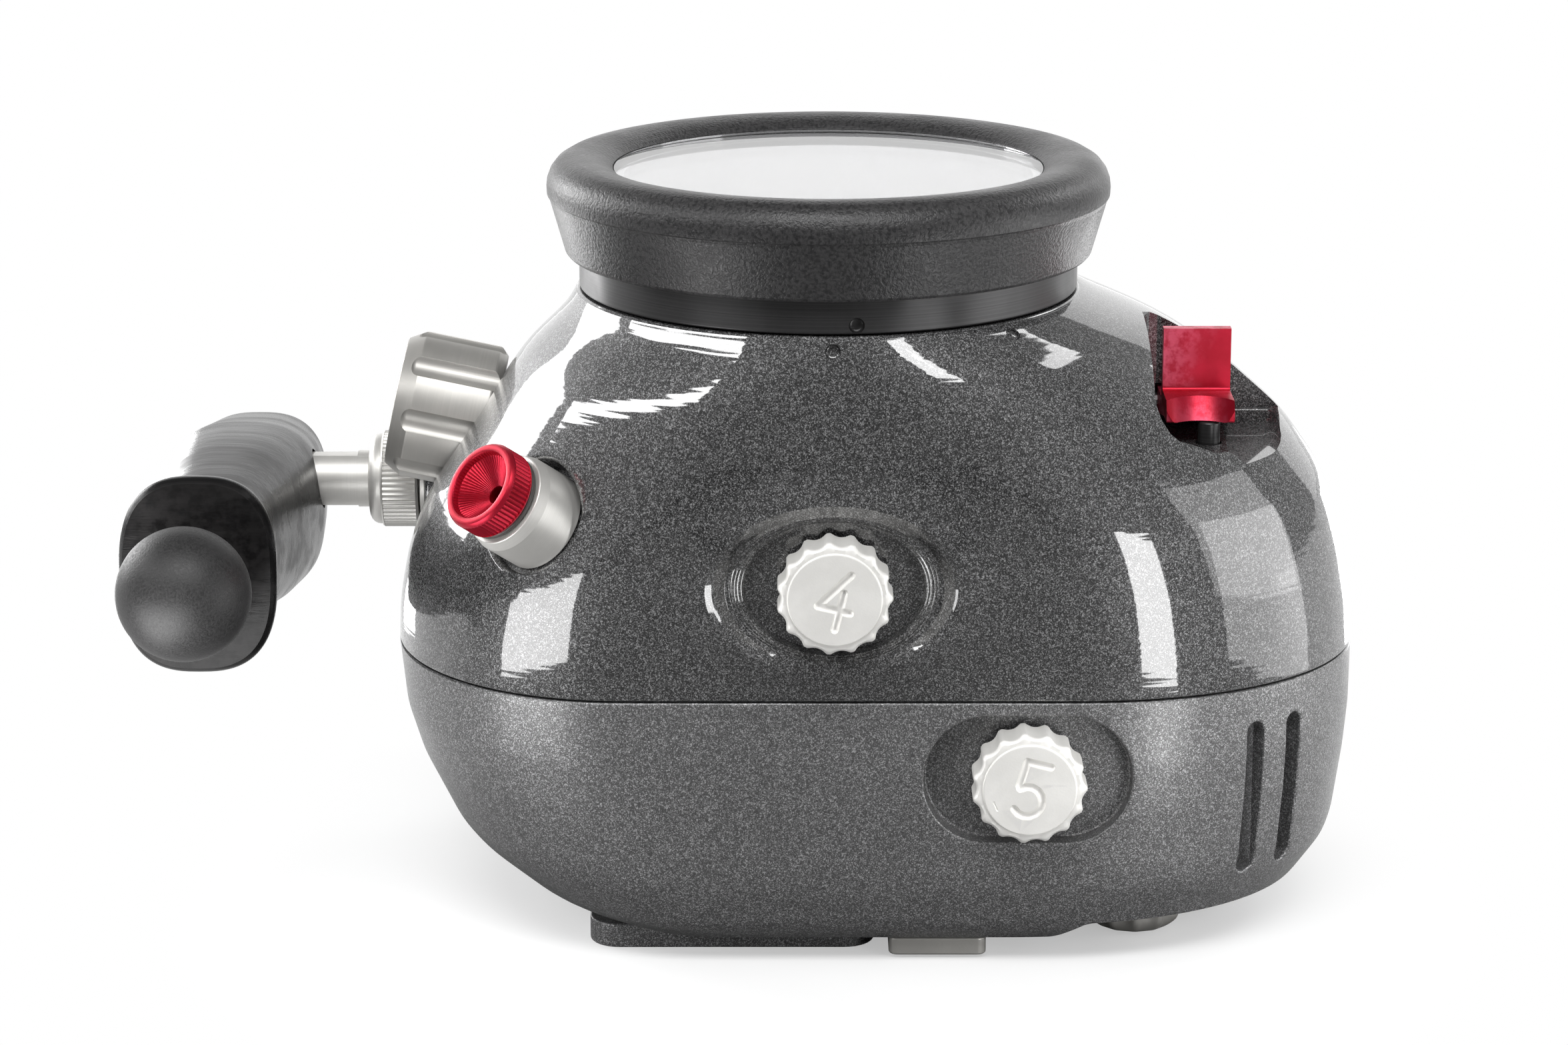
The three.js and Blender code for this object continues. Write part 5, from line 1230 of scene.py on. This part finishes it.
def make_grip():
    curve = faired(grip_sections, .008)
    angles = np.linspace(0, 2 * math.pi, 96, endpoint=False)
    places = np.r_[0, .004, .008, np.linspace(.012, .06, 13), np.linspace(.066, .93, 60),
                   np.linspace(.94, 1, 12)]
    rings = []
    for place in places:
        wide, deep = curve(place)
        rings.append(np.stack([GRIP_WIDE * wide * squared(np.cos(angles)),
                               GRIP_DEEP * deep * squared(np.sin(angles)),
                               np.full(len(angles), place * GRIP_LENGTH)], 1))
    grip = lofted("grip_detail", rings)
    core = slab("core", plate_outline(-6.8, 6.8, -9.3, 13.3, 1.2), 6, 120)
    post = moved(drum("post hole", POST_BORE, 0, 38.1, 40), grip_place.inverted() @ arm_place)
    worked(grip, ("DIFFERENCE", [core, post, drum("spigot hole", 4.3, -4, 6.3, 32)]))
    fitted(grip, "handle_arm", grip_black, ["handle_grip"], grip_place)
    cap = slab("grip_cap_detail", plate_outline(-9, 9, -13, 13, 6), 115.6, 118.6, .8)
    fitted(cap, "handle_arm", ball_black, ["grip_end_cap"], grip_place)


def make_ball():
    radius, neck = 12.7, 6
    turns = np.linspace(math.pi, math.asin(neck / radius), 40)
    profile = [(radius * math.sin(t), -17.9 + radius * math.cos(t)) for t in turns]
    profile[0] = (0, profile[0][1])
    profile += rounded([(6, -6.2), (5.9, -2.2), (6.6, -.3, .2), (4, -.3), (4, 12), (0, 12)], 3)
    ball = turned("strobe_ball_detail", profile, 96)
    fitted(ball, "handle_arm", ball_black, ["strobe_ball"], grip_place)


def make_handle_metal():
    flange = worked(
        turned("handle_socket_detail", rounded([
            (0, -11), (8, -11, .3), (8, .3), (9.2, .3), (9.2, 1.3, .3), (0, 1.3)], 3), 72),
        ("DIFFERENCE", drum("bore", POST_BORE, -15, 4, 48)))
    fitted(flange, "front_case", turned_silver, ["handle_socket"], handle_place)

    grooved = [(9.4, 1.6), (9.75, 1.75), (10, 2.1), (10, 2.15), (10, 8.9), (10, 8.95), (9.8, 9.3), (9.4, 9.4)]
    collar = [(9.4, 9.41), (9.4, 9.9), (9.3, 10.5), (9.0, 11.1), (8.5, 11.6), (7.9, 11.9), (7.2, 12)]
    nut = knurled("handle_nut_detail", grooved + collar, 60, .35, (2.12, 8.92))
    worked(nut, ("DIFFERENCE", drum("bore", POST_BORE, 0, 14, 48)))
    fitted(nut, "lock_nut", turned_silver, ["handle_nut"], handle_place, crease=30)

    post = turned("handle_post_detail", rounded([
        (0, -10.7), (5.9, -10.7, .4), (5.9, 31.3, .3), (3.4, 31.3), (3.4, 35), (0, 35)], 3), 64)
    flats = [bar("flat", a, b, -8, 8, 14.5, 24.5) for a, b in ((5.2, 8), (-8, -5.2))]
    worked(post, ("DIFFERENCE", [moved(f, Matrix.Rotation(math.radians(90), 4, "Z")) for f in flats]))
    fitted(post, "handle_arm", turned_silver, ["handle_post"], arm_place)


make_grip()
make_ball()
make_handle_metal()


# ---------------------------------------------------------------- closing screw, windows, buttons, tray

def make_lock():
    block = slab("lock_block_detail", plate_outline(11.7, 30.7, -46, -32, 1.8), .7, 4.3, .45)
    worked(block, ("DIFFERENCE", [boss("head", 4.9, -2, 3.7, lock_place, 40),
                                  boss("hole", 3.3, 0, 6, lock_place, 32)]))
    fitted(block, "rear_case", dull_silver, ["lock_block"])
    screw = turned("lock_screw_detail", rounded([
        (0, 0), (4.6, 0, .5), (4.6, 3.4, .3), (3, 3.4), (3, 63.5, .5), (0, 63.5)], 3), 48)
    worked(screw, ("DIFFERENCE", bar("slot", -5, 5, -.7, .7, -4, 2)))
    fitted(screw, "closing_screw", black_anodised, ["lock_screw"], lock_place)


def make_windows():
    for name in windows:
        pane = slab(f"{name}_pane", window_outline(name), 2.7, 6.2, .25)
        fitted(pane, "rear_case", window_pane, [f"{name}_window"])
        ring = slab(f"{name}_frame", window_outline(name), .4, 2.4, .3)
        worked(ring, ("DIFFERENCE", slab("opening", window_outline(name, -WINDOW_LEDGE, 3), -4, 5)))
        fitted(ring, "rear_case", black_anodised, [f"{name}_ring"])


def make_buttons():
    profile = rounded([
        (0, 4.75), (3.0, 4.7, 1.5), (3.6, 4.6, .3), (4.2, 5.2, .3), (4.2, 9.6, .15), (3.3, 9.6), (3.3, 6.4),
        (1.3, 6.4), (1.3, 16.8), (2.4, 16.8), (2.4, 17.6), (1.3, 17.6), (1.3, 20, .2), (0, 20)], 3)
    for name, place in button_places.items():
        fitted(turned(f"{name}_detail", profile, 48), f"{name}_body", blasted_silver, [name], place)


def make_tray():
    tray = slab("camera_tray_detail", plate_outline(-39.6, 39.6, -13, 13, 5), -3, 0, .4)
    holes = [slab("slot", plate_outline(-15, 15, -3.3, 3.3, 3.29), -6, 3)]
    holes += [slab("window", plate_outline(x - 5, x + 5, -6.5, 6.5, 2.5), -6, 3) for x in (-30, 30)]
    worked(tray, ("DIFFERENCE", holes))
    fitted(tray, "rear_case", black_anodised, ["camera_tray"], tray_place)
    screw = turned("tray_screw_detail", rounded([
        (0, -8), (3.1, -8, .6), (3.1, .3), (7, .3, .4), (7, 4.8, .6), (0, 4.8)], 3), 64)
    fitted(screw, "tray_lock", steel, ["tray_screw"], tray_place)


make_lock()
make_windows()
make_buttons()
make_tray()

# What stays from the solids gets its finish
kept_finishes = {"steel": steel, "rubber": seal_rubber, "silver": turned_silver, "polymer": polymer,
                 "black_anodised": black_anodised}
slots = {row["node"]: row["material_slot"] for row in frame["record"]["subparts"]}
for name, item in nodes.items():
    if item.hide_render:
        continue
    item.data.materials.clear()
    item.data.materials.append(kept_finishes[slots[name]])


# ---------------------------------------------------------------- floor, light and camera

def ray_kinds(tree, links):
    """Masks of what is seen directly or through glass, and of what is mirrored."""
    path = tree.new("ShaderNodeLightPath")
    direct = math_node(
        tree, links, "MAXIMUM", path.outputs["Is Camera Ray"], path.outputs["Is Transmission Ray"])
    return direct, path.outputs["Is Glossy Ray"]


def matte_grey(tree, grey):
    paint = tree.new("ShaderNodeBsdfDiffuse")
    paint.inputs["Color"].default_value = (grey, grey, grey, 1)
    return paint.outputs[0]


def combined(tree, links, kind, *inputs):
    """Output of a shader node that joins others."""
    step = tree.new(kind)
    for value, socket in zip(inputs, step.inputs):
        links.new(value, socket)
    return step.outputs[0]


def make_paper():
    """Paper that is grey under the housing and rises to even white away from it.

    Its front part mirrors darker, and it throws less light back than the camera sees on it.
    """
    material = bpy.data.materials.new("studio paper")
    material.use_nodes = True
    tree, links = material.node_tree.nodes, material.node_tree.links
    tree.clear()
    direct, mirrored = ray_kinds(tree, links)

    glow = tree.new("ShaderNodeEmission")
    links.new(math_node(tree, links, "MULTIPLY", direct, .42), glow.inputs["Strength"])
    near = combined(tree, links, "ShaderNodeAddShader", matte_grey(tree, .5), glow.outputs[0])
    ground = combined(tree, links, "ShaderNodeMixShader", direct, matte_grey(tree, .2), near)
    white = tree.new("ShaderNodeEmission")
    white.inputs["Strength"].default_value = 1.0

    place = object_place(tree)
    oval = tree.new("ShaderNodeVectorMath")
    oval.operation = "MULTIPLY"
    oval.inputs[1].default_value = (1.1, 1, 1)
    links.new(place, oval.inputs[0])
    away = tree.new("ShaderNodeVectorMath")
    away.operation = "LENGTH"
    links.new(oval.outputs[0], away.inputs[0])
    rise = ranged(tree, links, away.outputs["Value"], .08, .15, 0, 1)
    split = tree.new("ShaderNodeSeparateXYZ")
    links.new(place, split.inputs[0])
    behind = ranged(tree, links, split.outputs[1], -.12, .05, 0, 1)
    seen = math_node(
        tree, links, "MAXIMUM", direct, math_node(tree, links, "MULTIPLY", mirrored, behind))
    share = math_node(tree, links, "MULTIPLY", rise, seen)

    out = tree.new("ShaderNodeOutputMaterial")
    links.new(combined(tree, links, "ShaderNodeMixShader", share, ground, white.outputs[0]),
              out.inputs["Surface"])
    return material


def make_floor():
    mesh = bpy.data.meshes.new("studio_floor")
    reach = 3.0
    mesh.from_pydata([(-reach, -reach, 0), (reach, -reach, 0), (reach, reach, 0), (-reach, reach, 0)],
                     [], [(0, 1, 2, 3)])
    mesh.materials.append(make_paper())
    floor = bpy.data.objects.new("studio_floor", mesh)
    bpy.context.scene.collection.objects.link(floor)


def make_world():
    """White to the camera, dim to all else, and faint in what mirrors it."""
    world = bpy.data.worlds.new("studio")
    bpy.context.scene.world = world
    world.use_nodes = True
    tree, links = world.node_tree.nodes, world.node_tree.links
    glow = tree["Background"]
    glow.inputs["Color"].default_value = (1, 1, 1, 1)
    direct, mirrored = ray_kinds(tree, links)
    faint = math_node(tree, links, "MULTIPLY", mirrored, .08)
    seen = math_node(tree, links, "MAXIMUM", direct, faint)
    links.new(ranged(tree, links, seen, 0, 1, .15, 1, False), glow.inputs["Strength"])


# Metres from what a light is aimed at
LIGHT_REACH = .8


def aimed(azimuth, height):
    """Way to a light, at an azimuth from the front (right is positive) and an angle above level."""
    turn, rise = math.radians(azimuth), math.radians(height)
    return LIGHT_REACH * Vector(
        (math.sin(turn) * math.cos(rise), -math.cos(turn) * math.cos(rise), math.sin(rise)))


def softbox(name, place, towards, width, height, radiance, along=(0, 0, 0)):
    """Area lamp whose surface has the given radiance.

    Its width runs along the given direction, or level.
    """
    lamp = bpy.data.lights.new(name, "AREA")
    lamp.shape = "RECTANGLE"
    lamp.size, lamp.size_y = width, height
    lamp.energy = radiance * width * height * math.pi
    item = bpy.data.objects.new(name, lamp)
    bpy.context.scene.collection.objects.link(item)
    item.location = place
    back = (Vector(place) - Vector(towards)).normalized()
    wide = Vector(along) if Vector(along).length else Vector((0, 0, 1)).cross(back)
    wide = (wide - back * wide.dot(back)).normalized()
    item.rotation_euler = Matrix((wide, back.cross(wide), back)).transposed().to_euler()
    item.visible_camera = False
    return item


def strip(name, centre, start, end, thick, radiance):
    """Narrow softbox between two directions seen from the centre."""
    centre = Vector(centre)
    first, last = aimed(*start), aimed(*end)
    softbox(name, centre + (first + last) / 2, centre, (last - first).length, thick, radiance, last - first)


def make_lights():
    left_shoulder, right_shoulder = (-.03, -.035, .123), (.04, -.03, .123)
    by_lever = Vector((.04, -.03, .12))
    softbox("left_card", (-.131, -.110, .048), (-.055, -.05, .066), .075, .052, 7)
    softbox("left_back_softbox", (-.573, .372, .27), (-.05, -.03, .11), .34, .30, 8)
    softbox("left_low_card", (-.195, .15, .05), (-.08, -.02, .066), .07, .09, 6)
    softbox("right_card", (.252, -.06, .07), (.085, -.03, .08), .15, .14, 2)
    softbox("right_softbox", (.67, -.13, .12), (.085, -.035, .08), .5, .5, 1.6)
    softbox("right_front_card", (.133, -.160, .048), (.06, -.052, .07), .036, .10, 9)
    softbox("right_low_card", (.17, .15, .04), (.1, -.015, .03), .07, .07, 5)
    softbox("top_softbox", (0, -.55, .88), (0, 0, .08), .8, .35, 8.4)
    softbox("right_back_softbox", by_lever + aimed(125, 27), by_lever, .25, .2, 6)
    strip("left_back_strip", left_shoulder, (-106, 24), (-84, 32), .06, 13)
    strip("left_front_strip", left_shoulder, (-84, 32), (-38, 34), .06, 13)
    strip("front_strip", (.015, -.048, .122), (24, 37), (35, 43), .045, 10)
    strip("right_strip", right_shoulder, (100, 54), (134, 46), .03, 6)
    softbox("back_wall", (0, 1.1, .42), (0, 0, .12), 2.6, .75, 1.15)


def make_camera():
    camera = bpy.data.cameras.new("camera")
    camera.lens = 100
    camera.sensor_width = 36
    camera.clip_start = .05
    item = bpy.data.objects.new("camera", camera)
    bpy.context.scene.collection.objects.link(item)
    item.location = (-.008743, -.846, .301)
    item.rotation_euler = (math.radians(75.1), 0, 0)
    bpy.context.scene.camera = item


make_floor()
make_world()
make_lights()
make_camera()
bpy.context.scene.view_settings.view_transform = "Standard"
